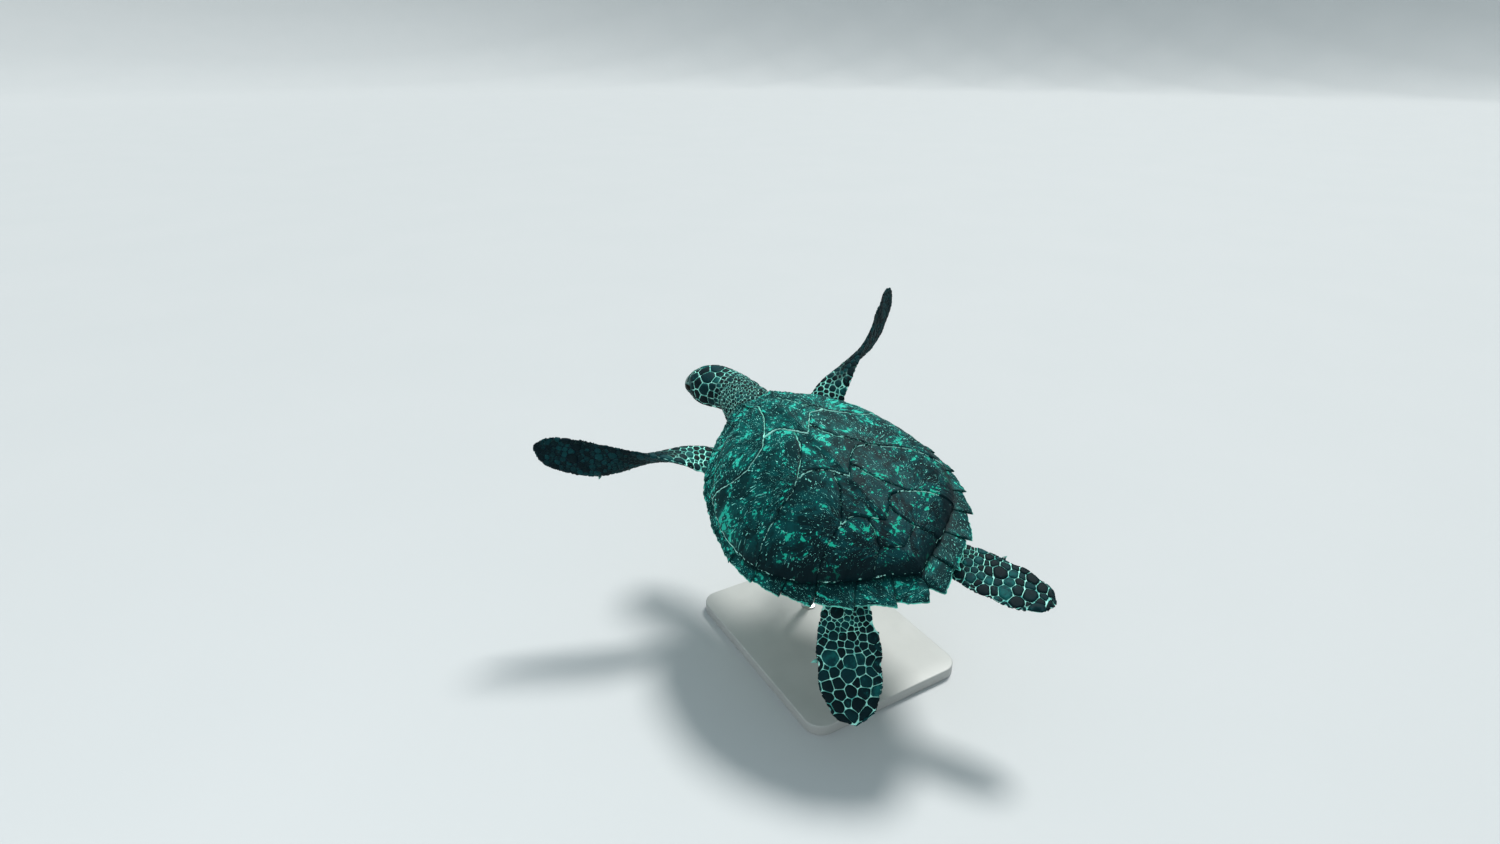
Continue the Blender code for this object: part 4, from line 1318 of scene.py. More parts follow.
@dataclass(frozen=True)
class HeadShape:
    """The head in its own frame: x left, y towards the beak and z up, in shares of the shell."""

    neck_spine: tuple[Point, ...] = (
        (0.0, 0.150, -0.010), (0.002, 0.050, 0.012), (0.004, -0.070, 0.034), (0.008, -0.200, 0.052),
    )
    length: float = 0.235
    yaw: float = 27.0
    pitch: float = -2.0
    half_width: Knots = (
        (0.0, 0.082), (0.2, 0.086), (0.38, 0.088), (0.55, 0.080), (0.7, 0.063), (0.82, 0.045),
        (0.92, 0.028), (1.0, 0.008),
    )
    top: Knots = (
        (0.0, 0.061), (0.2, 0.068), (0.4, 0.070), (0.6, 0.062), (0.75, 0.046), (0.88, 0.022), (1.0, -0.020),
    )
    middle: Knots = ((0.0, 0.0), (0.7, 0.0), (0.85, -0.010), (1.0, -0.027))
    below: Knots = (
        (0.0, 0.069), (0.25, 0.065), (0.5, 0.058), (0.7, 0.050), (0.85, 0.044), (0.95, 0.040), (1.0, 0.034),
    )
    squareness: float = 0.85
    mouth: float = -0.022
    eye_place: float = 0.70
    eye_height: float = 0.014
    eye_radius: float = 0.022
    eye_show: float = 0.006
    neck_width: Knots = ((0.0, 0.100), (0.3, 0.108), (0.6, 0.102), (1.0, 0.085))
    neck_top: Knots = ((0.0, 0.082), (0.5, 0.076), (1.0, 0.061))
    neck_below: Knots = ((0.0, 0.078), (0.5, 0.084), (1.0, 0.070))
    head_start: float = -0.10
    head_end: float = 0.815

    def axes(self) -> tuple[Array, Array]:
        """The head's origin, and its left, forward and up directions as rows.

        Returns:
            The origin, and the three directions as rows.
        """
        yaw, pitch = math.radians(self.yaw), math.radians(self.pitch)
        level = math.cos(pitch)
        forward = np.array([math.sin(yaw) * level, -math.cos(yaw) * level, math.sin(pitch)])
        left = unit(np.cross((0, 0, 1), -forward))
        return np.array(self.neck_spine[-1]), np.stack([left, forward, np.cross(forward, -left)])

    def carried(self, local: Array) -> Array:
        """Points of the head's frame in the turtle's frame."""
        origin, ways = self.axes()
        return origin + local @ ways

    def section(self, shares: Array, count: int) -> tuple[Array, Array]:
        """Sideways and upward offsets of rings, from under the chin round by the left side.

        Args:
            shares: Places of the rings along the head, each from 0 to 1.
            count: Points round each ring.

        Returns:
            Both offsets, as ring by point.
        """
        wide, middle, top, below = (
            Profile(knots)(shares)[:, None] for knots in (self.half_width, self.middle, self.top, self.below)
        )
        cosine, sine = superellipse(count, self.squareness, -math.pi / 2)
        return wide * cosine, middle + np.where(sine > 0, top - middle, below + middle) * sine

    def head_tube(self) -> Tube:
        """The head from inside the neck's end to just inside the beak.

        Rings follow the half width and the heights above and below the axis. The mouth's corner
        runs back from the beak as a groove, and the cheeks and brows swell a little.

        Returns:
            The head's surface.
        """
        shares = np.linspace(self.head_start, self.head_end, 128)
        side, rise = self.section(shares, 480)
        shares = shares[:, None]
        tuck = 1 - 0.30 * ease(shares, 0.0, self.head_start * 1.2)
        side, rise = side * tuck, rise * tuck
        groove = 0.0025 * bell(rise, self.mouth, 0.0028) * ease(shares, 0.58, 0.68)
        cheek = 0.004 * bell(rise, -0.012, 0.022) * bell(shares, 0.42, 0.16)
        brow = 0.0035 * bell(rise, 0.040, 0.011) * bell(shares, 0.69, 0.075)
        side = side + np.sign(side) * (cheek + brow - groove)
        forward = np.broadcast_to(shares * self.length, side.shape)
        return Tube(self.carried(np.stack([side, forward, rise], -1)), 176)

    def neck_tube(self) -> Tube:
        """The neck, with soft folds across it, from inside the trunk into the back of the head.

        Its rings turn from across the spine to across the head, and shrink past the spine's end.

        Returns:
            The neck's surface.
        """
        shares = np.linspace(0, 1.08, 106)
        spine, forward = Spine(self.neck_spine), self.axes()[1][1]
        past = np.clip(shares - 1, 0, 1)[:, None]
        shares = np.minimum(shares, 1)
        points, ways = spine.at(shares)
        points = points + past * spine.length * forward
        blend = shares[:, None] ** 2
        ways = unit((1 - blend) * ways + blend * forward)
        left = unit(np.cross((0, 0, 1), -ways))
        up = np.cross(ways, -left)
        cosine, sine = superellipse(480, self.squareness, -math.pi / 2)
        wide, top, below = (
            Profile(knots)(shares)[:, None] for knots in (self.neck_width, self.neck_top, self.neck_below)
        )
        turn, shares = angles(480), shares[:, None]
        wander = 1.4 * np.sin(2 * turn + 1.0) + 0.8 * np.sin(5 * turn)
        fade = ease(shares, 0.25, 0.5) * (1 - ease(shares, 0.80, 0.98))
        folds = 0.0022 * np.sin(52 * shares + wander) * fade
        tuck = 1 - 3.4 * past
        rise = (np.where(sine > 0, top, below) + folds) * sine * tuck
        return Tube(ringed(points, (wide + folds) * cosine * tuck, left, rise, up), 160)

    def eye_centre(self, way: float) -> Array:
        """Middle of an eye in the head's frame, way being 1 on the left and -1 on the right."""
        aside = float(Profile(self.half_width)(self.eye_place)) - self.eye_radius + self.eye_show
        return np.array([way * aside, self.eye_place * self.length, self.eye_height])

    def gaze(self, way: float) -> tuple[Array, Array, Array]:
        """Directions at an eye. Outward leans a little forward and up.

        Args:
            way: 1 for the left eye and -1 for the right.

        Returns:
            Forward, up and outward, in the head's frame.
        """
        ahead = np.array([0.0, 1.0, -0.12])
        out = unit(np.array([way, 0.16, 0.22]))
        front = unit(ahead - out * np.dot(out, ahead))
        return front, unit(np.cross(front, out) * way * -1), out


@dataclass(frozen=True)
class BladeShape:
    """A flipper: a spine with a chord direction, a chord and a thickness along it."""

    spine: tuple[Point, ...]
    chord: Knots
    thick: Knots
    claws: tuple[tuple[str, float], ...]
    mirror: float = 1.0
    twist: Knots | None = None
    chord_way: Point | None = None
    lobes: tuple[float, float] = (0.012, 96.0)
    rings: int = 150
    tip_rings: int = 7
    tip_reach: float = 0.009

    def frames(self, shares: Array) -> tuple[Array, Array, Array]:
        """Places and directions along the flipper.

        The chord points along chord_way where that is given. Else it starts out forward and is
        turned about the spine by the twist.

        Args:
            shares: Shares of the length.

        Returns:
            Spine points, chord directions and normals.
        """
        points, ways = Spine(self.spine).at(shares)
        if self.twist is None:
            wanted = np.array(self.chord_way)
            chord_way = unit(wanted - (ways @ wanted)[:, None] * ways)
            return points, chord_way, np.cross(ways, chord_way)
        up = unit(np.cross((0, -1, 0), ways) * -1)
        forward = np.cross(up, ways)
        forward = forward * np.sign(-forward[:, 1:2])
        turn = np.radians(Profile(self.twist)(shares))[:, None]
        chord_way = np.cos(turn) * forward - np.sin(turn) * up * np.sign(up[:, 2:3])
        flip = np.array([self.mirror, 1, 1])
        return points * flip, chord_way * flip, np.cross(ways, chord_way) * flip

    def tube(self) -> Tube:
        """The flipper's surface.

        Rings are flat ovals, thicker in front: half the thickness times the sine times
        0.62 + 0.38 cosine. The last ones close in by a quarter circle to round the tip.

        Returns:
            The surface, from the root to the tip.
        """
        cap = np.linspace(0, math.pi / 2, self.tip_rings + 1)[1:]
        shares = np.concatenate([np.linspace(0, 1, self.rings), np.ones(len(cap))])
        close = np.concatenate([np.ones(self.rings), np.maximum(np.cos(cap), 0.03)])
        past = np.concatenate([np.zeros(self.rings), np.sin(cap)]) * self.tip_reach
        points, chord_way, normal = self.frames(shares)
        points = points + past[:, None] * unit(points[self.rings - 1] - points[self.rings - 10])
        cosine, sine = np.cos(angles(400)), np.sin(angles(400))
        deep, often = self.lobes
        wave = deep * np.sin(shares * often) * ease(shares, 0.35, 0.6) * (1 - ease(shares, 0.96, 1.0))
        side = (Profile(self.chord)(shares) * close * (1 + wave))[:, None] / 2 * cosine
        rise = (Profile(self.thick)(shares) * close)[:, None] / 2 * sine * (0.62 + 0.38 * cosine)
        return Tube(ringed(points, side, chord_way, rise, normal), 72)

    def edge_at(self, share: float, out: float) -> tuple[Array, Array]:
        """A place on the front edge.

        Args:
            share: Share of the flipper's length.
            out: How far the point is moved off the edge.

        Returns:
            The point and the direction away from the blade there.
        """
        points, chord_way, _ = self.frames(np.array([share]))
        half = float(Profile(self.chord)(share)) / 2
        return points[0] + chord_way[0] * (half + out), chord_way[0]


FRONT: dict[str, Any] = {
    "spine": (
        (0.175, 0.160, -0.042), (0.208, 0.100, -0.028), (0.245, 0.054, -0.008), (0.300, 0.020, 0.020),
        (0.360, 0.002, 0.048), (0.409, -0.018, 0.062), (0.464, -0.046, 0.069), (0.520, -0.067, 0.077),
        (0.575, -0.092, 0.087), (0.625, -0.122, 0.098), (0.674, -0.150, 0.118), (0.721, -0.181, 0.139),
        (0.775, -0.217, 0.174),
    ),
    "chord": (
        (0.0, 0.100), (0.12, 0.142), (0.3, 0.124), (0.45, 0.112), (0.6, 0.130), (0.73, 0.150),
        (0.84, 0.144), (0.92, 0.122), (0.975, 0.086), (1.0, 0.040),
    ),
    "thick": (
        (0.0, 0.064), (0.2, 0.070), (0.32, 0.064), (0.45, 0.052), (0.6, 0.036), (0.83, 0.017), (1.0, 0.008),
    ),
    "claws": (("a", 0.71), ("b", 0.57)),
}
TWIST_LEFT: Knots = (
    (0.0, -22.0), (0.2, -15.0), (0.32, 5.0), (0.44, 38.0), (0.55, 64.0), (0.64, 80.0), (0.73, 87.0),
    (1.0, 90.0),
)
TWIST_RIGHT: Knots = (
    (0.0, -30.0), (0.2, -20.0), (0.32, 0.0), (0.44, 32.0), (0.55, 56.0), (0.64, 69.0), (0.73, 75.0),
    (1.0, 77.0),
)
HIND: dict[str, Any] = {
    "thick": ((0.0, 0.060), (0.25, 0.046), (0.5, 0.028), (0.75, 0.015), (1.0, 0.007)),
    "claws": (("a", 0.60),),
    "lobes": (0.035, 27.0),
}


def blades() -> dict[str, BladeShape]:
    """The four flippers by the name of their node.

    Returns:
        Names and shapes.
    """
    return {
        "flipper_front_left": BladeShape(twist=TWIST_LEFT, **FRONT),
        "flipper_front_right": BladeShape(twist=TWIST_RIGHT, mirror=-1.0, **FRONT),
        "flipper_hind_left": BladeShape(
            (
                (0.140, 0.730, -0.048), (0.185, 0.805, -0.078), (0.245, 0.895, -0.135),
                (0.296, 0.972, -0.190), (0.340, 1.050, -0.245),
            ),
            (
                (0.0, 0.150), (0.2, 0.168), (0.4, 0.186), (0.62, 0.196), (0.8, 0.178), (0.92, 0.138),
                (0.98, 0.090), (1.0, 0.045),
            ),
            chord_way=(0.87, -0.47, 0.17), **HIND,
        ),
        "flipper_hind_right": BladeShape(
            (
                (-0.140, 0.730, -0.048), (-0.175, 0.835, -0.060), (-0.222, 0.950, -0.074),
                (-0.272, 1.052, -0.086), (-0.318, 1.142, -0.097),
            ),
            (
                (0.0, 0.115), (0.2, 0.132), (0.4, 0.154), (0.62, 0.162), (0.8, 0.150), (0.92, 0.118),
                (0.98, 0.080), (1.0, 0.040),
            ),
            chord_way=(-0.87, -0.47, 0.0), **HIND,
        ),
    }


def tail_tube() -> Tube:
    """The short tail: round rings that shrink to a blunt tip.

    Returns:
        The tail's surface.
    """
    line = ((0.0, 0.840, -0.020), (0.0, 0.900, -0.022), (0.0, 0.925, -0.022), (0.0, 0.950, -0.021))
    shares = np.linspace(0, 1, 40)
    radius = Profile(((0.0, 0.030), (0.5, 0.020), (1.0, 0.006)))(shares)
    ring = np.insert(circle(120), 1, 0.0, axis=1)
    return Tube(Spine(line).at(shares)[0][:, None] + radius[:, None, None] * ring, 36)


@dataclass(frozen=True)
class Belly:
    """Widths and heights of the trunk and the plastron along y."""

    trunk_knots: Knots = (
        (0.115, 0.150), (0.14, 0.205), (0.17, 0.250), (0.22, 0.305), (0.35, 0.350), (0.5, 0.362),
        (0.6, 0.342), (0.7, 0.286), (0.78, 0.212), (0.85, 0.120), (0.895, 0.045),
    )
    plastron_knots: Knots = (
        (0.118, 0.070), (0.135, 0.130), (0.165, 0.180), (0.22, 0.220), (0.27, 0.260), (0.31, 0.316),
        (0.57, 0.316), (0.61, 0.262), (0.66, 0.200), (0.74, 0.140), (0.80, 0.100), (0.845, 0.055),
    )
    height_knots: Knots = (
        (0.115, -0.090), (0.15, -0.112), (0.28, -0.135), (0.62, -0.135), (0.75, -0.118),
        (0.85, -0.085), (0.9, -0.055),
    )
    trunk_ends: tuple[float, float] = (0.117, 0.893)
    roundness: float = 0.45
    flank: float = 0.75
    edge_drop: float = 0.062
    flatness: float = 4.0
    plastron_thick: float = 0.014
    clearance: float = 0.011

    def bottom(self, plan: ShellPlan, x: Array, y: Array) -> Array:
        """Height of the underside: flat along the middle, rising to the trunk's side edge.

        Args:
            plan: The shell's shapes.
            x: Places to the left.
            y: Places along the shell.

        Returns:
            The height at each place.
        """
        across = np.clip(np.abs(x) / Profile(self.trunk_knots)(y), 0, 1)
        middle, edge = Profile(self.height_knots)(y), plan.gutter_height(y) - self.edge_drop
        return middle + (edge - middle) * across**self.flatness

    def trunk(self, plan: ShellPlan) -> Sheet:
        """The trunk as closed sections from side to side, top and bottom, with rounded flanks.

        Args:
            plan: The shell's shapes.

        Returns:
            The closed trunk in the turtle's frame.
        """
        y = np.linspace(*self.trunk_ends, 110)
        share, up = superellipse(120, self.roundness)
        x = share * (Profile(self.trunk_knots)(y)[:, None] - 0.002)
        rows = np.broadcast_to(y[:, None], x.shape)
        past = np.clip((np.abs(share) - self.flank) / (1 - self.flank), 0, 1)
        high = plan.dome(x, rows) - plan.plate_thick - self.clearance - plan.shelf_thick * past**2
        low = self.bottom(plan, x, rows) + self.plastron_thick + 0.001
        rise = (high + low) / 2 + (high - low) / 2 * up
        return Sheet.loft(np.stack([x, rows, rise], -1))


@dataclass
class Skin:
    """One closed skin over the trunk, neck, head, tail and flippers."""

    plan: ShellPlan
    depth: float = 0.8 * MM
    joints: tuple[tuple[Point, float], ...] = (
        ((0.19, 0.12, -0.03), 0.135), ((-0.19, 0.12, -0.03), 0.135), ((0.0, 0.10, 0.0), 0.16),
        ((0.008, -0.200, 0.052), 0.10), ((0.17, 0.80, -0.07), 0.13), ((-0.17, 0.80, -0.06), 0.13),
        ((0.0, 0.88, -0.02), 0.06),
    )
    sharp_from: float = 0.035
    spread_rounds: int = 5
    spread_gain: float = 1.9
    ease_rounds: int = 26
    ease_share: float = 0.8

    def __post_init__(self) -> None:
        """Makes the tubes that the skin and its scales follow."""
        head = HeadShape()
        self.tubes = {"neck": head.neck_tube(), "head": head.head_tube(), "tail": tail_tube()}
        self.tubes |= {name: shape.tube() for name, shape in blades().items()}

    def union(self) -> tuple[Array, Array]:
        """All the flesh joined by live Booleans.

        Returns:
            Points, in the turtle's frame, and triangles.
        """
        base = added("flesh", Belly().trunk(self.plan).mesh("flesh"))
        others = [added(name, tube.sheet(self.depth).mesh(name)) for name, tube in self.tubes.items()]
        for other in others:
            join = base.modifiers.new(other.name, "BOOLEAN")
            join.operation, join.solver, join.object = "UNION", "MANIFOLD", other
        ready = base.evaluated_get(bpy.context.evaluated_depsgraph_get())
        mesh = ready.to_mesh()
        mesh.calc_loop_triangles()
        points = np.empty(len(mesh.vertices) * 3, np.float32)
        mesh.vertices.foreach_get("co", points)
        tris = np.empty(len(mesh.loop_triangles) * 3, np.int32)
        mesh.loop_triangles.foreach_get("vertices", tris)
        ready.to_mesh_clear()
        for used in (base, *others):
            bpy.data.objects.remove(used)
        return points.reshape(-1, 3).astype(float), tris.reshape(-1, 3)

    def softened(self, points: Array, tris: Array) -> Array:
        """Points eased where parts meet: sharp valleys near a joint spread into a fillet.

        A point's sharpness is how far the mean of its faces' unit normals falls short of one. It
        spreads to the neighbours, and each point then moves by that share to their mean.

        Args:
            points: Points of the joined flesh.
            tris: Its triangles.

        Returns:
            The moved points.
        """
        total = len(points)
        pairs = np.unique(np.sort(np.concatenate([tris[:, [k, (k + 1) % 3]] for k in range(3)]), 1), axis=0)
        one, two = np.concatenate([pairs, pairs[:, ::-1]]).T
        counts = np.maximum(np.bincount(one, minlength=total), 1)[:, None]

        def mean(values: Array) -> Array:
            """Mean over the neighbours of every point."""
            return np.stack([np.bincount(one, column[two], total) for column in values.T], -1) / counts

        a, b, c = (points[tris[:, k]] for k in range(3))
        faces = unit(np.cross(b - a, c - a))
        summed = np.stack(
            [sum(np.bincount(tris[:, c], faces[:, k], total) for c in range(3)) for k in range(3)], -1
        )
        around = sum(np.bincount(tris[:, c], minlength=total) for c in range(3))
        sharp = 1 - np.linalg.norm(summed, axis=1) / np.maximum(around, 1)
        near = np.zeros(total)
        for centre, reach in self.joints:
            near = np.maximum(near, ease(np.linalg.norm(points - centre, axis=1), reach, reach * 0.8))
        share = ((sharp > self.sharp_from) * near)[:, None]
        for _ in range(self.spread_rounds):
            share = np.maximum(share, np.minimum(mean(share) * self.spread_gain, 1.0))
        share = share * near[:, None]
        for _ in range(self.ease_rounds):
            points = points + share * (mean(points) - points) * self.ease_share
        return points

    def build(self, material: bpy.types.Material, lids: Sequence[Sheet]) -> bpy.types.Object:
        """Makes the skin in place of the flesh nodes.

        Args:
            material: Its finish.
            lids: Sheets that belong to it.

        Returns:
            The skin's object.
        """
        points, tris = self.union()
        bare = Sheet(self.softened(points, tris), np.empty((0, 4), int), tris).outward()
        sheet = Sheet.joined([bare, *lids])
        sheet.marks = markings(sheet.points)
        nodes = ("trunk", "neck", "head", "tail", *blades())
        return piece("skin", sheet.placed(), material, Slot.SKIN, nodes)


def markings(points: Array) -> dict[str, Array]:
    """Night and under at points of the turtle.

    It is dark far out on the front flippers, round the eyes and in rings across the neck, and
    creamy below.

    Args:
        points: Points in the turtle's frame, with a last axis of three.

    Returns:
        Both marks for each point.
    """
    x, y, z = points[..., 0], points[..., 1], points[..., 2]
    far = ease(np.abs(x) + 0.05 * np.sin(40 * y + 25 * z), 0.33, 0.45) * (y < 0.3)
    throat = ease(z, 0.005, -0.05) * ease(y, 0.16, 0.05) * ease(np.abs(x), 0.30, 0.20)
    sides = ease(z, -0.045, -0.085) * ease(y, 0.05, 0.15) * ease(y, 0.80, 0.70)
    head = HeadShape()
    eyes = [head.carried(head.eye_centre(way)) for way in (1.0, -1.0)]
    near = np.minimum(*[np.linalg.norm(points - eye, axis=-1) for eye in eyes]) / head.eye_radius
    neck = ease(y, 0.14, 0.08) * ease(y, -0.235, -0.20) * ease(np.abs(x), 0.14, 0.12)
    rings = 0.42 + 0.34 * np.sin(260 * y + 60 * x + 1.5 * np.sin(35 * x) + 1.2 * np.sin(50 * z))
    night = np.maximum(np.maximum(far, 0.88 * ease(near, 2.1, 1.5)), neck * rings)
    return {"night": night, "under": np.clip(throat + sides, 0, 1)}


def short_way(start: Array, end: Array) -> Array:
    """Steps in p and q from some sites to others, the short way round the tube.

    Args:
        start: Sites.
        end: Other sites.

    Returns:
        The steps.
    """
    step = end - start
    step[..., 1] -= np.round(step[..., 1])
    return step


@dataclass
class ScaleCoat:
    """Domed scales over a tube: round-cornered cells between sites spread by a spacing function.

    Spacing gives the width that a scale wants at p and q. Fixed holds p, q and the half width of
    shields that keep their place. Bare tells which points of the tube stay without scales.
    """

    name: str
    tube: Tube
    spacing: Callable[[Array, Array], Array]
    start: float
    stop: float
    seed: int
    gap: float = 0.9 * MM
    height: float = 0.16
    tallest: float = 1.3 * MM
    above: float = 0.8 * MM
    sunk: float = 1.4 * MM
    directions: int = 12
    fixed: Array = field(default_factory=lambda: np.zeros((0, 3)))
    bare: Callable[[Array], Array] | None = None
    rounds: int = 9
    limit: float = 0.72
    variety: float = 0.15
    border: float = 0.25 * MM
    clear: float = 0.30
    sharp: float = 9.0
    row_step: float = 0.88
    shake: float = 0.22
    room: float = 1.04
    push: float = 0.34
    farthest_move: float = 0.02
    least_border: float = 0.25
    least_reach: float = 0.15
    girth: float = 5.0
    search: float = 26 * MM
    skin_range: tuple[float, float] = (-4 * MM, 5 * MM)

    def rows(self) -> Array:
        """First sites: rows across the tube, each with its sites spread round by the spacing.

        Returns:
            The sites, as rows of p and q.
        """
        found: list[Array] = []
        p, trip = self.start, np.linspace(0, 1, 129)
        while p < self.stop:
            level = np.full_like(trip, p)
            spacing, spans = self.spacing(level, trip), self.tube.stretch(np.column_stack([level, trip]))
            dense = spans[:, 1] / spacing
            total = np.concatenate([[0], np.cumsum((dense[1:] + dense[:-1]) / 2 * np.diff(trip))])
            count = max(4, round(total[-1]))
            places = (np.arange(count) + 0.5 * (len(found) % 2) + 0.25) / count * total[-1]
            q = np.interp(np.mod(places, total[-1]), total, trip)
            found.append(np.column_stack([np.full(count, p), q]))
            p += self.row_step * float((spacing / spans[:, 0]).mean())
        return np.vstack(found)

    def offsets(self, sites: Array, count: int) -> tuple[Array, Array]:
        """The nearest sites of each site.

        Args:
            sites: All sites.
            count: How many neighbours to find for each.

        Returns:
            Their numbers, and the way to them along and round the tube.
        """
        points = self.tube.at(sites)[0].astype(np.float32)
        square = (points**2).sum(1)
        gaps = square[:, None] + square[None] - 2 * points @ points.T
        np.fill_diagonal(gaps, np.inf)
        near = np.argpartition(gaps, count, axis=1)[:, :count]
        spans = self.tube.stretch(sites)
        return near, short_way(sites[:, None], sites[near]) * (spans[:, None] + spans[near]) / 2

    def spread(self) -> tuple[Array, Array]:
        """Sites pushed apart to their spacing. The fixed ones stay.

        Returns:
            The sites, and half the width of each one's scale.
        """
        sites, held = self.rows(), self.fixed[:, :2]
        rng = np.random.default_rng(self.seed)
        if len(held):
            step = short_way(sites[:, None], held[None]) * self.tube.stretch(sites)[:, None]
            gap = np.linalg.norm(step, axis=-1) - self.fixed[None, :, 2]
            sites = sites[gap.min(1) > self.clear * self.spacing(*sites.T)]
        free = len(sites)
        sites = np.vstack([sites, held])
        size = self.spacing(*sites.T)
        size[free:] = self.fixed[:, 2] * 2
        odd = np.exp(rng.normal(0, self.variety, free))
        shake = rng.uniform(-self.shake, self.shake, (free, 2)) * size[:free, None]
        sites[:free] += shake / self.tube.stretch(sites[:free])
        for _ in range(self.rounds):
            near, away = self.offsets(sites, 8)
            size[:free] = self.spacing(*sites[:free].T) * odd
            want = (size[:, None] + size[near]) / 2 * self.room
            lack = np.maximum(want - np.linalg.norm(away, axis=-1), 0) * self.push
            push = -unit(away) * lack[..., None]
            move = push.sum(1)[:free] / self.tube.stretch(sites[:free])
            sites[:free] += np.clip(move, -self.farthest_move, self.farthest_move)
        sites[:, 1] = np.mod(sites[:, 1], 1)
        within = (sites[:, 0] > self.start) & (sites[:, 0] < self.stop)
        return sites[within], size[within] / 2

    def cells(self, sites: Array, half: Array) -> Array:
        """Reach of each site's cell in every direction.

        The border with a neighbour crosses the way to it at (d^2 + w^2 - v^2) / 2d. The reach is
        the smooth least of the distances to those borders, less half the gap.

        Args:
            sites: All sites.
            half: Half widths of their scales.

        Returns:
            The reach, as site by direction.
        """
        near, away = self.offsets(sites, 16)
        along = away @ circle(self.directions).T
        power = (away**2).sum(-1) + half[:, None] ** 2 - half[near] ** 2
        reach = np.where(along > 1e-6, power[..., None] / 2 / np.maximum(along, 1e-6), np.inf)
        reach = np.maximum(reach, self.least_border * half[:, None, None])
        limit = (2 * self.limit * half)[:, None]
        total = (reach**-self.sharp).sum(1) + limit**-self.sharp
        return np.maximum(total ** (-1 / self.sharp) - self.gap / 2, self.least_reach * half[:, None])

    def settled(self, sites: Array, skin: bpy.types.Object) -> Array:
        """How far the skin lies out from the tube, found by a ray inwards at each site.

        Args:
            sites: All sites.
            skin: The finished skin.

        Returns:
            The distance out, nan where the tube is buried.
        """
        points, normals = self.tube.at(sites)
        starts, ways = PLACE.place(points + self.search * normals), -normals @ PLACE.turn().T
        out = np.full(len(sites), np.nan)
        for k, (start, way) in enumerate(zip(starts, ways)):
            hit, place, _, _ = skin.ray_cast(Vector(start), Vector(way), distance=0.03)
            if hit:
                out[k] = self.search - float(np.linalg.norm(np.array(place) - start)) / PLACE.shell_length
        low, high = self.skin_range
        out[(out > high) | (out < low)] = np.nan
        return out

    def sheet(self, skin: bpy.types.Object) -> Sheet:
        """All the scales as one joined sheet.

        Each is a closed dome: a sunk rim ring, a shoulder ring, a crown ring and a middle.

        Args:
            skin: The finished skin.

        Returns:
            The sheet in the turtle's frame.
        """
        sites, half = self.spread()
        wide = self.tube.stretch(sites)[:, 1] > self.girth * half
        sites, half = sites[wide], half[wide]
        reach, lift = self.cells(sites, half), self.settled(sites, skin)
        keep = ~np.isnan(lift)
        if self.bare is not None:
            keep &= ~self.bare(self.tube.at(sites)[0])
        sites, half, reach, lift = sites[keep], half[keep], reach[keep], lift[keep] + self.above
        rings, rise = np.array([1.0, 0.95, 0.62]), np.array([0.0, 0.62, 1.0])
        spokes = rings[None, :, None, None] * circle(self.directions)[None, None]
        far = reach[:, None, :, None] * spokes / self.tube.stretch(sites)[:, None, None]
        points, normals = self.tube.at(sites[:, None, None] + far)
        tall = np.minimum(self.height * half, self.tallest)
        out = tall[:, None] * rise - self.sunk * (rise == 0) + lift[:, None]
        points = points + normals * out[:, :, None, None]
        tone = np.random.default_rng(self.seed + 7).uniform(0, 1, len(sites))[:, None, None]
        marks = {
            "tone": np.broadcast_to(tone, points.shape[:3]),
            "rim": reach[:, None] * (1 - rings)[None, :, None] / self.border,
            **markings(points),
        }
        sheet = Sheet.lofts(points, marks, 0.02 + 0.96 * sites[:, None, None] + 0.0015 * spokes)
        middle, away = self.tube.at(sites)
        tops = np.arange(1, len(sites) + 1) * (len(rings) * self.directions + 2) - 1
        sheet.points[tops] = middle + away * (tall + lift)[:, None]
        return sheet


# Scales of each part


def head_shields() -> Array:
    """Large shields of the head.

    Each row is given by its place along the head, its place round from the top and its half width
    in millimetres. Rows off the middle line stand on both sides. Two even rings close the nape.

    Returns:
        Rows of p, q and half width.
    """
    rows = (
        (0.772, 0.036, 4.4), (0.712, 0.036, 5.2), (0.648, 0.0, 5.6), (0.630, 0.088, 10.2),
        (0.505, 0.0, 12.4), (0.335, 0.062, 15.2), (0.468, 0.140, 10.4), (0.318, 0.168, 12.2),
        (0.570, 0.176, 5.6), (0.548, 0.238, 7.4), (0.448, 0.222, 8.6), (0.318, 0.254, 9.8),
        (0.180, 0.0, 7.4), (0.170, 0.068, 7.4), (0.172, 0.130, 7.2), (0.168, 0.192, 7.2),
        (0.172, 0.252, 6.8), (0.680, 0.322, 6.4), (0.560, 0.330, 8.4), (0.425, 0.318, 8.6),
        (0.290, 0.322, 8.0), (0.735, 0.262, 4.2), (0.665, 0.272, 4.2), (0.765, 0.330, 4.4),
    )
    made = [(p, 0.5 + aside, half * MM) for p, aside, half in rows]
    made += [(p, 0.5 - aside, half * MM) for p, aside, half in rows if aside > 0]
    for share, half, count in ((0.064, 4.7, 24), (0.006, 3.9, 28)):
        made += [(share, (k + 0.5) / count, half * MM) for k in range(count)]
    return np.array(made)


def wheel(turn: Array, one: Array, other: Array) -> Array:
    """Directions at angles round an axis: cosine times one way plus sine times another."""
    return np.cos(turn)[:, None] * one + np.sin(turn)[:, None] * other


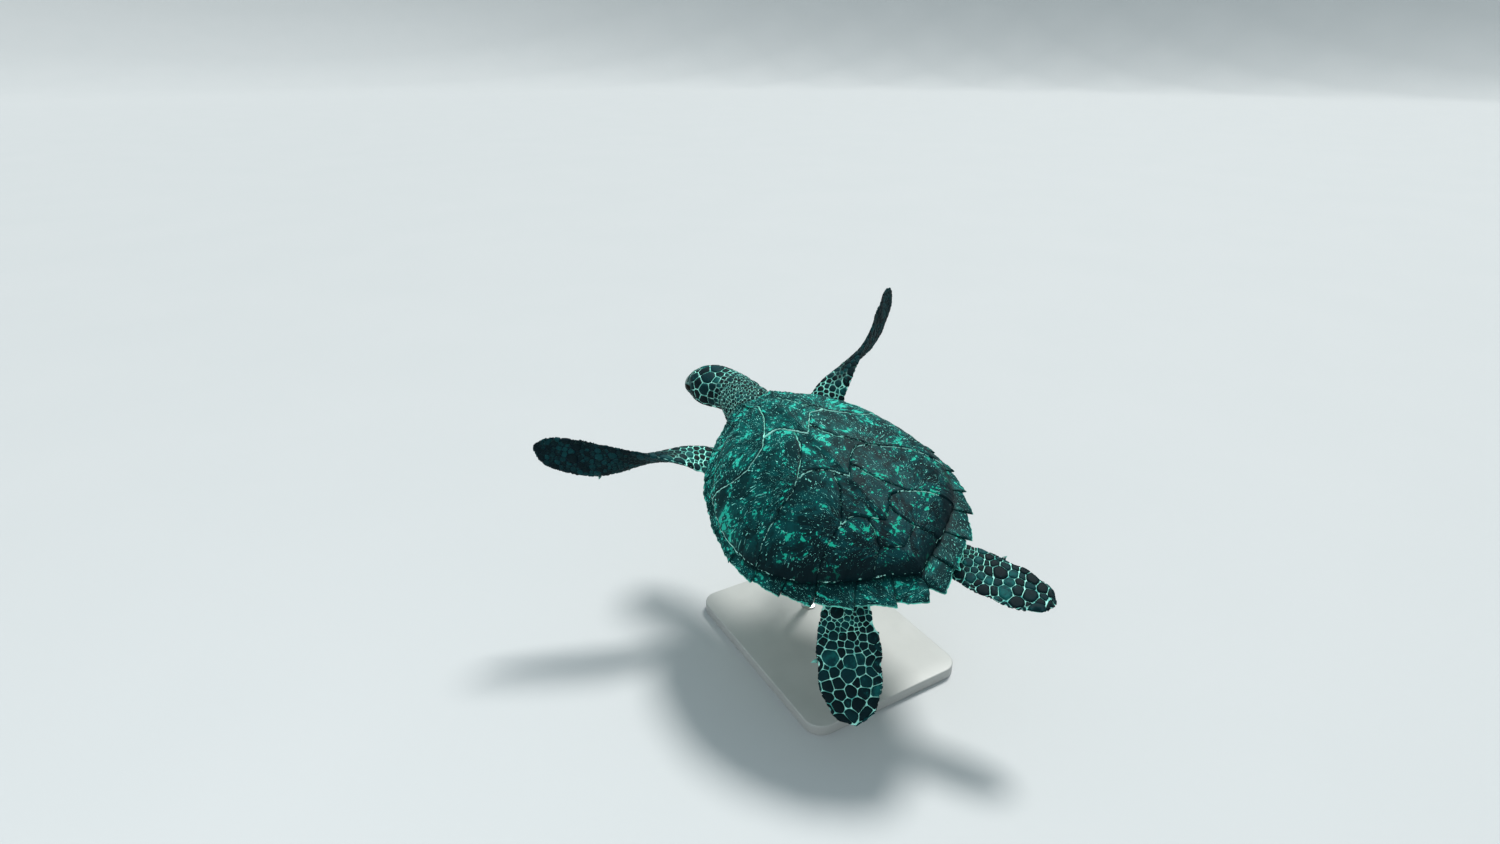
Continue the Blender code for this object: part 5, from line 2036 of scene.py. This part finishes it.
@dataclass
class Eyelids:
    """Leathery rims round both eyes: closed rings from inside the opening out onto the head.

    Reach and over are a section's points: their distance from the opening's middle in shares of
    the opening, and their height over the eyeball in thicknesses.
    """

    head: HeadShape
    opening: tuple[float, float] = (0.86, 0.60)
    thick: float = 1.2 * MM
    reach: tuple[float, ...] = (1.00, 1.00, 1.03, 1.12, 1.26, 1.42, 1.60, 1.80, 1.80, 1.30, 1.02)
    over: tuple[float, ...] = (-0.6, 0.5, 1.0, 1.1, 0.9, 0.75, 0.2, -1.6, -3.0, -2.2, -1.2)
    widest: float = 1.45

    def almond(self, turn: Array) -> Array:
        """Reach of the opening from its middle: an oval, drawn out at the front and rear corners.

        Args:
            turn: Angles round the eye.

        Returns:
            The reach at each.
        """
        wide, tall = self.opening
        oval = 1 / np.sqrt((np.cos(turn) / wide) ** 2 + (np.sin(turn) / tall) ** 2)
        return self.head.eye_radius * oval * (1 + 0.10 * np.abs(np.cos(turn)) ** 6)

    def sheet(self, way: float) -> Sheet:
        """One eye's lids.

        A section runs from inside the opening, up over a rounded lip and out to where it sinks
        into the head. It is carried round the eye on a sphere a little larger than the eyeball.

        Args:
            way: 1 for the left eye and -1 for the right.

        Returns:
            The closed lids in the turtle's frame.
        """
        turn, eye = angles(96), self.head.eye_radius
        front, up, out = self.head.gaze(way)
        reach, over = np.array(self.reach), np.array(self.over) * self.thick
        wrinkle = 1 + 0.10 * np.sin(7 * turn + 3.0 * way)
        far = np.minimum(self.almond(turn)[:, None] * reach, eye * self.widest)
        radius = eye + over * np.where((reach > 1.1) & (reach < 1.7), wrinkle[:, None], 1.0)
        bend = np.clip(far / radius, 0, 1.5)
        aside, ahead = radius * np.sin(bend), radius * np.cos(bend)
        spread = aside[..., None] * wheel(turn, front, up)[:, None] + ahead[..., None] * out
        return torus(self.head.carried(self.head.eye_centre(way) + spread))


def torus(sections: Array) -> Sheet:
    """A closed sheet of closed sections in a closed row.

    Args:
        sections: Points, as section by point by three.

    Returns:
        The sheet, which faces outwards.
    """
    rows, size = sections.shape[:2]
    here = np.arange(rows * size).reshape(rows, size)
    after, ahead = np.roll(here, -1, 0), np.roll(here, -1, 1)
    quads = np.stack([here, ahead, np.roll(after, -1, 1), after], -1).reshape(-1, 4)
    return Sheet(sections.reshape(-1, 3), quads, np.empty((0, 3), int)).outward()


@dataclass
class Head:
    """Shields, small scales, lids, eyes and beak."""

    shape: HeadShape
    tube: Tube
    beak_root: float = 0.785
    beak_ends: tuple[float, float] = (1.004, 0.955)
    nostril: tuple[float, float] = (0.0105, 0.925)
    nostril_size: tuple[float, float] = (0.0034, 0.0026)

    def bare(self, points: Array) -> Array:
        """Whether points lie in the opening of either eye or inside the lids round it.

        Args:
            points: Points in the turtle's frame.

        Returns:
            One answer for each point.
        """
        origin, ways = self.shape.axes()
        local = (points - origin) @ ways.T
        inside = np.zeros(len(points), bool)
        for way in (1.0, -1.0):
            front, high, _ = self.shape.gaze(way)
            off = local - self.shape.eye_centre(way)
            reach = np.hypot((off @ front) / 1.12, (off @ high) / 0.85)
            inside |= (reach < self.shape.eye_radius * 1.08) & (local[:, 0] * way > 0)
        return inside

    def coat(self) -> ScaleCoat:
        """Shields on the crown and cheeks, and small scales under the jaw and towards the neck.

        Returns:
            The coat, with the shields' places along the head turned into the tube's p.
        """
        def spacing(p: Array, q: Array) -> Array:
            """Widths of the small scales: larger towards the throat."""
            return (5.2 + 1.8 * ease(np.abs(q - 0.5), 0.38, 0.5)) * MM

        first, last, shields = self.shape.head_start, self.shape.head_end, head_shields()
        shields[:, 0] = (shields[:, 0] - first) / (last - first)
        return ScaleCoat(
            "head_scales", self.tube, spacing, 0.106, 0.985, 3, gap=1.3 * MM, directions=28, fixed=shields,
            bare=self.bare, limit=0.95, border=0.45 * MM, clear=1.6, sharp=24.0,
        )

    def lids(self) -> list[Sheet]:
        """Lids of both eyes."""
        return [Eyelids(self.shape).sheet(way) for way in (1.0, -1.0)]

    def eye(self, way: float) -> Sheet:
        """An eyeball: rings round the gaze from the pupil's middle to the back.

        Args:
            way: 1 for the left eye and -1 for the right.

        Returns:
            The closed eyeball in the turtle's frame.
        """
        tilt, turn = np.linspace(0, math.pi, 40)[1:-1], angles(48)
        front, up, out = self.shape.gaze(way)
        radius = self.shape.eye_radius * (1 + 0.035 * bell(tilt, 0, 0.55) - 0.30 * ease(tilt, 0.93, 1.22))
        aside, ahead = (radius * np.sin(tilt))[:, None, None], (radius * np.cos(tilt))[:, None, None]
        centre = self.shape.eye_centre(way)
        points = self.shape.carried(centre + aside * wheel(turn, front, up)[None] + ahead * out)
        gaze = np.stack([*np.meshgrid(tilt, turn, indexing="ij"), np.zeros(points.shape[:2])], -1)
        sheet = Sheet.loft(points, {"gaze": gaze})
        sheet.points[-2:] = self.shape.carried(centre + np.outer((radius[0], -radius[-1]), out))
        sheet.marks["gaze"][-2:] = ((0, 0, 0), (math.pi, 0, 0))
        return sheet

    def beak(self, upper: bool) -> Sheet:
        """One half of the beak.

        Rings follow the head's and are cut flat at the mouth. The upper half swells a little at
        its root, carries two nostrils and hooks down at the tip. The lower one stops short.

        Args:
            upper: Whether it is the upper half.

        Returns:
            The closed half in the turtle's frame.
        """
        shape, first, last = self.shape, self.beak_root, self.beak_ends[0 if upper else 1]
        shares = first + (last - first) * np.sin(np.linspace(0.0, math.pi / 2, 90)) ** 0.9
        side, rise = shape.section(np.minimum(shares, 1.0), 320)
        shares, pit = shares[:, None], np.zeros(side.shape)
        edge = shape.mouth - 0.0115 * ease(shares, 0.90, 1.0) + 0.002 * bell(shares, 0.90, 0.03)
        if upper:
            root = 0.0022 * ease(shares, 0.84, 0.80)
            side, rise = side * (1 + root * 14), rise + root * np.sign(rise)
            side = side + np.sign(side) * 0.0016 * bell(rise - edge, 0.004, 0.004)
            point = np.sqrt(1 - np.clip((shares - 0.91) / (last + 0.001 - 0.91), 0, 1) ** 2)
            side, rise = side * point, edge + (np.maximum(rise, edge) - edge) * point**0.8
            for way in (1, -1):
                aside = (side - way * self.nostril[0]) / self.nostril_size[0]
                along = (shares - self.nostril[1]) * shape.length / self.nostril_size[1]
                pit = np.maximum(pit, np.exp(-((aside**2 + along**2) ** 2)) * (rise > -0.01))
        else:
            short = ease(shares, 0.955, 0.90) ** 0.5
            side = side * (0.93 * short + 0.02)
            rise = np.minimum(rise * (0.96 - 0.25 * (1 - short)), edge - 0.0016)
        forward = np.broadcast_to(shares * shape.length, side.shape)
        tip = ease(shares, 0.86, 1.0) + 0.9 * bell(rise, edge, 0.006)
        local = np.stack([side, forward, rise - 0.0042 * pit], -1)
        return Sheet.loft(shape.carried(local), {"tip": tip, "pit": pit})


@dataclass(frozen=True)
class Claw:
    """A short curved claw on a flipper's front edge."""

    foot: Array
    way: Array
    tipwards: Array
    length: float = 0.0165
    radius: float = 0.0058
    bend: float = 0.32
    flatness: tuple[float, float] = (1.15, 0.85)

    def sheet(self) -> Sheet:
        """Rings along a bent line, shrinking to a blunt point.

        Returns:
            The closed claw in the turtle's frame.
        """
        shares = np.linspace(-0.15, 1.0, 26)
        beyond = np.clip(shares, 0, 1)
        line = np.outer(shares, self.way) + np.outer(self.bend * beyond**2, self.tipwards)
        high, wide = self.flatness
        ring = wheel(angles(20), high * self.tipwards, wide * unit(np.cross(self.way, self.tipwards)))
        radius = self.radius * (1 - beyond**1.3 * 0.93)
        points = (self.foot + self.length * line)[:, None] + radius[:, None, None] * ring
        tip = np.broadcast_to(shares[:, None] * 0.8, points.shape[:2])
        return Sheet.loft(points, {"tip": tip, "pit": np.zeros(points.shape[:2])})


@dataclass
class Plastron:
    """The belly plate as twelve joined scutes."""

    plan: ShellPlan
    belly: Belly = field(default_factory=Belly)
    cuts: tuple[float, ...] = (0.118, 0.175, 0.265, 0.385, 0.515, 0.655, 0.845)
    seam: float = 0.0012
    bow: float = 0.012
    bulge: float = 0.003

    def scute(self, y0: float, y1: float, way: float, number: int) -> Sheet:
        """One scute, from the middle line out to the plastron's edge.

        Closed sections run out along the underside and back along the hidden top. The underside
        bulges a little between the seams.

        Args:
            y0: Place of its front seam.
            y1: Place of its rear seam.
            way: 1 on the left and -1 on the right.
            number: Its number, whose parity says which way its seams bow.

        Returns:
            The closed scute in the turtle's frame.
        """
        y, out = np.linspace(y0 + self.seam, y1 - self.seam, 34), np.linspace(0, 1, 34)
        width = Profile(self.belly.plastron_knots)(y)[:, None]
        bow = self.bow * np.sin(math.pi * out) * (1 if number % 2 else -1)
        rows = y[:, None] + bow * (1 - (y - y0) * (y1 - y) * 4 / (y1 - y0) ** 2)[:, None]
        x = 0.0010 + (width - 0.0010) * out
        ends = np.minimum(y - y0, y1 - y)[:, None]
        gap = np.minimum(ends, np.minimum(x - 0.0005, width * 1.002 - x))
        under = self.belly.bottom(self.plan, x, rows)
        low = under + self.bulge * (1 - ease(gap, 0.0, 0.012))
        high = under + self.belly.plastron_thick - 0.004
        rings = [np.stack([x * way, rows, height], -1) for height in (low, high)]
        edge = np.concatenate([gap, gap[:, ::-1]], 1) * PLACE.shell_length
        return Sheet.loft(np.concatenate([rings[0], rings[1][:, ::-1]], 1), {"edge": edge})

    def sheet(self) -> Sheet:
        """All scutes."""
        pairs = enumerate(zip(self.cuts[:-1], self.cuts[1:]))
        return Sheet.joined([self.scute(a, b, way, k) for k, (a, b) in pairs for way in (1.0, -1.0)])


@dataclass(frozen=True)
class Stand:
    """A flat base with rounded edges and two rods, each with a collar at its foot."""

    width: float = 0.34
    length: float = 0.44
    thick: float = 0.022
    corner: float = 0.035
    bevel: float = 0.0025
    rod_radius: float = 0.008
    rods: tuple[tuple[str, float], ...] = (("stand_rod_front", 0.33), ("stand_rod_rear", 0.57))
    collar: tuple[tuple[float, float], ...] = (
        (1.9, 0.0), (1.9, 0.0030), (1.75, 0.0038), (1.12, 0.0044), (1.0, 0.0052), (1.0, 0.05),
    )
    clearance: tuple[float, float] = (0.0002, 0.0004)

    def base(self) -> Sheet:
        """The base: rings of a rectangle with round corners, drawn in at both edges.

        Returns:
            The closed base in the room.
        """
        half = np.array([self.width, self.length]) / 2 - self.corner
        quarter, bend = np.linspace(0, math.pi / 2, 16), np.linspace(0, math.pi / 2, 7)
        turn = np.concatenate([quarter + k * math.pi / 2 for k in range(4)])
        corners = np.repeat(half * ((1, 1), (-1, 1), (-1, -1), (1, -1)), 16, axis=0)
        near, far = self.bevel * (1 - np.sin(bend)), self.bevel * (1 - np.cos(bend))
        inset = np.concatenate([[self.corner * 0.9], near, far, [self.corner * 0.9]])
        height = np.concatenate([[0.0], far, self.thick - near, [self.thick]])
        ways = np.column_stack([np.cos(turn), np.sin(turn)])
        plan = corners + ways * (self.corner - inset)[:, None, None]
        return Sheet.loft(np.dstack([plan, np.broadcast_to(height[:, None], plan.shape[:2])]))

    def rod(self, plan: ShellPlan, y: float) -> Sheet:
        """A rod from the base to the plastron above it, its top cut to the plastron's slope.

        Args:
            plan: The shell's shapes.
            y: Where along the turtle it meets the plastron.

        Returns:
            The closed rod in the room.
        """
        foot = PLACE.place(np.array([0.0, y, float(Belly().bottom(plan, np.array(0.0), np.array(y)))]))
        normal = PLACE.turn() @ np.array([0.0, 0.0, 1.0])
        ring = circle(48)
        radii, low = np.array([*self.collar, (1.0, 0.0)]).T
        drop = -(ring @ normal[:2]) * self.rod_radius / normal[2]
        heights = np.broadcast_to((self.thick + self.clearance[0] + low)[:, None], (len(low), 48)).copy()
        heights[-1] = foot[2] + drop - self.clearance[1]
        return Sheet.loft(np.dstack([ring * (radii * self.rod_radius)[:, None, None] + foot[:2], heights]))

    def build(self, plan: ShellPlan) -> None:
        """Makes the base and the rods in place of their nodes.

        Args:
            plan: The shell's shapes.
        """
        piece("stand_base_paint", self.base(), paint_finish(), Slot.PAINT, ["stand_base"], 40)
        steel = steel_finish()
        for name, y in self.rods:
            piece(f"{name}_steel", self.rod(plan, y), steel, Slot.STEEL, [name], 30)


@dataclass
class Turtle:
    """The whole animal."""

    plan: ShellPlan = field(default_factory=ShellPlan)

    @staticmethod
    def front_spacing(p: Array, q: Array) -> Array:
        """Widths of a front flipper's scales: largest along its front and rear edges."""
        edge = np.maximum(np.cos(2 * math.pi * q) ** 8, 0) * ease(p, 0.15, 0.3)
        return (13.0 - 2.0 * ease(p, 0.3, 0.5) + 5.0 * edge - 3.0 * ease(p, 0.9, 1.0)) * MM

    @staticmethod
    def hind_spacing(p: Array, q: Array) -> Array:
        """Widths of a hind flipper's scales: largest on the middle of the outer blade."""
        flat = 10.0 * ease(p, 0.30, 0.65) - 1.5 * np.cos(4 * math.pi * q) ** 2
        return (11.0 + flat - 5.0 * ease(p, 0.92, 1.0)) * MM

    @staticmethod
    def neck_spacing(p: Array, q: Array) -> Array:
        """Widths of the neck's scales: smaller towards the head."""
        return (7.4 + 0.6 * np.cos(2 * math.pi * q) ** 2 - 1.4 * ease(p, 0.78, 0.9)) * MM

    @staticmethod
    def tail_spacing(p: Array, q: Array) -> Array:
        """Widths of the tail's scales: all the same."""
        return np.full(np.shape(p), 4.5 * MM)

    def coats(self, skin: Skin, head: Head) -> list[ScaleCoat]:
        """Scales of every part of the skin.

        Args:
            skin: The skin, whose tubes the scales follow.
            head: The head.

        Returns:
            The coats.
        """
        front: dict[str, Any] = {
            "gap": 1.2 * MM, "border": 0.4 * MM, "variety": 0.32, "limit": 0.85, "sharp": 12.0,
        }
        hind: dict[str, Any] = {
            "gap": 0.75 * MM, "directions": 18, "height": 0.14, "variety": 0.30, "limit": 0.85, "rounds": 7,
            "border": 0.22 * MM, "sharp": 18.0,
        }
        rows = (
            ("neck", self.neck_spacing, 0.26, 0.917, 5, {"variety": 0.25}),
            ("flipper_front_left", self.front_spacing, 0.14, 0.985, 11, front),
            ("flipper_hind_left", self.hind_spacing, 0.16, 0.985, 17, hind),
            ("flipper_front_right", self.front_spacing, 0.14, 0.985, 11, front),
            ("flipper_hind_right", self.hind_spacing, 0.16, 0.985, 23, hind),
            ("tail", self.tail_spacing, 0.3, 0.95, 31, {"gap": 0.8 * MM}),
        )
        coats = [head.coat()]
        for name, spacing, start, stop, seed, look in rows:
            coats.append(ScaleCoat(f"{name}_scales", skin.tubes[name], spacing, start, stop, seed, **look))
        return coats

    def claws(self, material: bpy.types.Material) -> None:
        """Makes the claws in place of their nodes.

        Args:
            material: Their finish.
        """
        for name, blade in blades().items():
            for letter, share in blade.claws:
                foot, way = blade.edge_at(share, 0.0012)
                tipwards = unit(blade.edge_at(share + 0.02, 0.0)[0] - foot)
                claw = Claw(foot, way, unit(tipwards - way * (tipwards @ way)))
                node = f"claw_{name.removeprefix('flipper_')}_{letter}"
                piece(f"{node}_horn", claw.sheet().placed(), material, Slot.HORN, [node])

    def build(self) -> None:
        """Makes every piece."""
        Shell(self.plan).build(shell_finish())
        belly = Plastron(self.plan).sheet().placed()
        piece("plastron_scutes", belly, plastron_finish(), Slot.PLASTRON, ["plastron"], 50)
        skin = Skin(self.plan)
        head = Head(HeadShape(), skin.tubes["head"])
        surface = skin.build(skin_finish(), head.lids())
        bpy.context.view_layer.update()
        scales = scale_finish()
        for coat in self.coats(skin, head):
            piece(coat.name, coat.sheet(surface).placed(), scales, Slot.SKIN)
        horn, glass = horn_finish(), eye_finish()
        for side, way in (("left", 1.0), ("right", -1.0)):
            piece(f"eye_{side}_ball", head.eye(way).placed(), glass, Slot.EYE, [f"eye_{side}"])
        for half in ("upper", "lower"):
            sheet = head.beak(half == "upper").placed()
            piece(f"beak_{half}_horn", sheet, horn, Slot.HORN, [f"beak_{half}"], 60)
        self.claws(horn)


# Studio


def aimed(thing: bpy.types.Object, place: Point, way: Sequence[float]) -> None:
    """Puts a lamp or a camera at a place and turns it to look along a way."""
    thing.location = place
    thing.rotation_euler = Vector(way).to_track_quat("-Z", "Y").to_euler()


@dataclass(frozen=True)
class SoftLight:
    """A lamp: a large disk, or a soft sun whose size is its angle in degrees."""

    name: str
    kind: str
    position: Point
    size: float
    power: float
    colour: Colour = (1.0, 1.0, 1.0)
    target: Point = (0.0, 0.0, 0.3)

    def build(self) -> None:
        """Adds the lamp, turned towards its target."""
        data = bpy.data.lights.new(self.name, self.kind)
        data.energy, data.color = self.power, self.colour
        if self.kind == "SUN":
            data.angle = math.radians(self.size)
        else:
            data.shape, data.size = "DISK", self.size
        aimed(added(self.name, data), self.position, Vector(self.target) - Vector(self.position))


@dataclass(frozen=True)
class Studio:
    """A plain pale floor, a pale room, soft lights and the camera."""

    camera_place: Point = (0.7897, 1.0566, 1.1009)
    camera_way: Point = (-0.4567, -0.7829, -0.4225)
    lens: float = 19.2
    sensor_width: float = 36.0
    floor_size: float = 130.0
    cove_start: float = 26.0
    cove_height: float = 48.0
    room_colour: Colour = (0.66, 0.86, 0.92)
    room_power: float = 0.62
    lights: tuple[SoftLight, ...] = (
        SoftLight("key", "SUN", (-1.0, -0.6, 2.2), 14.0, 3.8, (1.0, 0.99, 0.96)),
        SoftLight("fill", "AREA", (1.9, 1.3, 1.6), 1.6, 10.0, (0.90, 0.96, 1.0)),
    )

    def build(self) -> None:
        """Sets the stage. The floor rises smoothly far off, so that no edge of it shows."""
        count = 66
        line = np.linspace(-0.5, 0.5, count) * self.floor_size
        x, y = np.meshgrid(line, line)
        height = self.cove_height * ease(np.hypot(x, y), self.cove_start, self.floor_size / 2)
        here = np.arange(count * count).reshape(count, count)
        quads = np.stack([here[:-1, :-1], here[:-1, 1:], here[1:, 1:], here[1:, :-1]], -1).reshape(-1, 4)
        points = np.stack([x, y, height], -1).reshape(-1, 3)
        mesh = Sheet(points, quads, np.empty((0, 3), int)).mesh("floor")
        mesh.materials.append(floor_finish())
        floor = added("floor", mesh)
        for light in self.lights:
            light.build()
        world = bpy.data.worlds.new("room")
        world.use_nodes = True
        sky = world.node_tree.nodes["Background"]
        sky.inputs["Color"].default_value = (*self.room_colour, 1.0)
        sky.inputs["Strength"].default_value = self.room_power
        bpy.context.scene.world = world
        bpy.context.scene.view_settings.view_transform = "Standard"
        data = bpy.data.cameras.new("camera")
        data.lens, data.sensor_width = self.lens, self.sensor_width
        camera = added("camera", data)
        aimed(camera, self.camera_place, self.camera_way)
        bpy.context.scene.camera = camera
        log.info("studio: %d lights", len(self.lights))


def main() -> None:
    """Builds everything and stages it."""
    logging.basicConfig(level=logging.INFO, format="%(message)s")
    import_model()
    Turtle().build()
    Stand().build(ShellPlan())
    Studio().build()


if __name__ == "__main__":
    main()
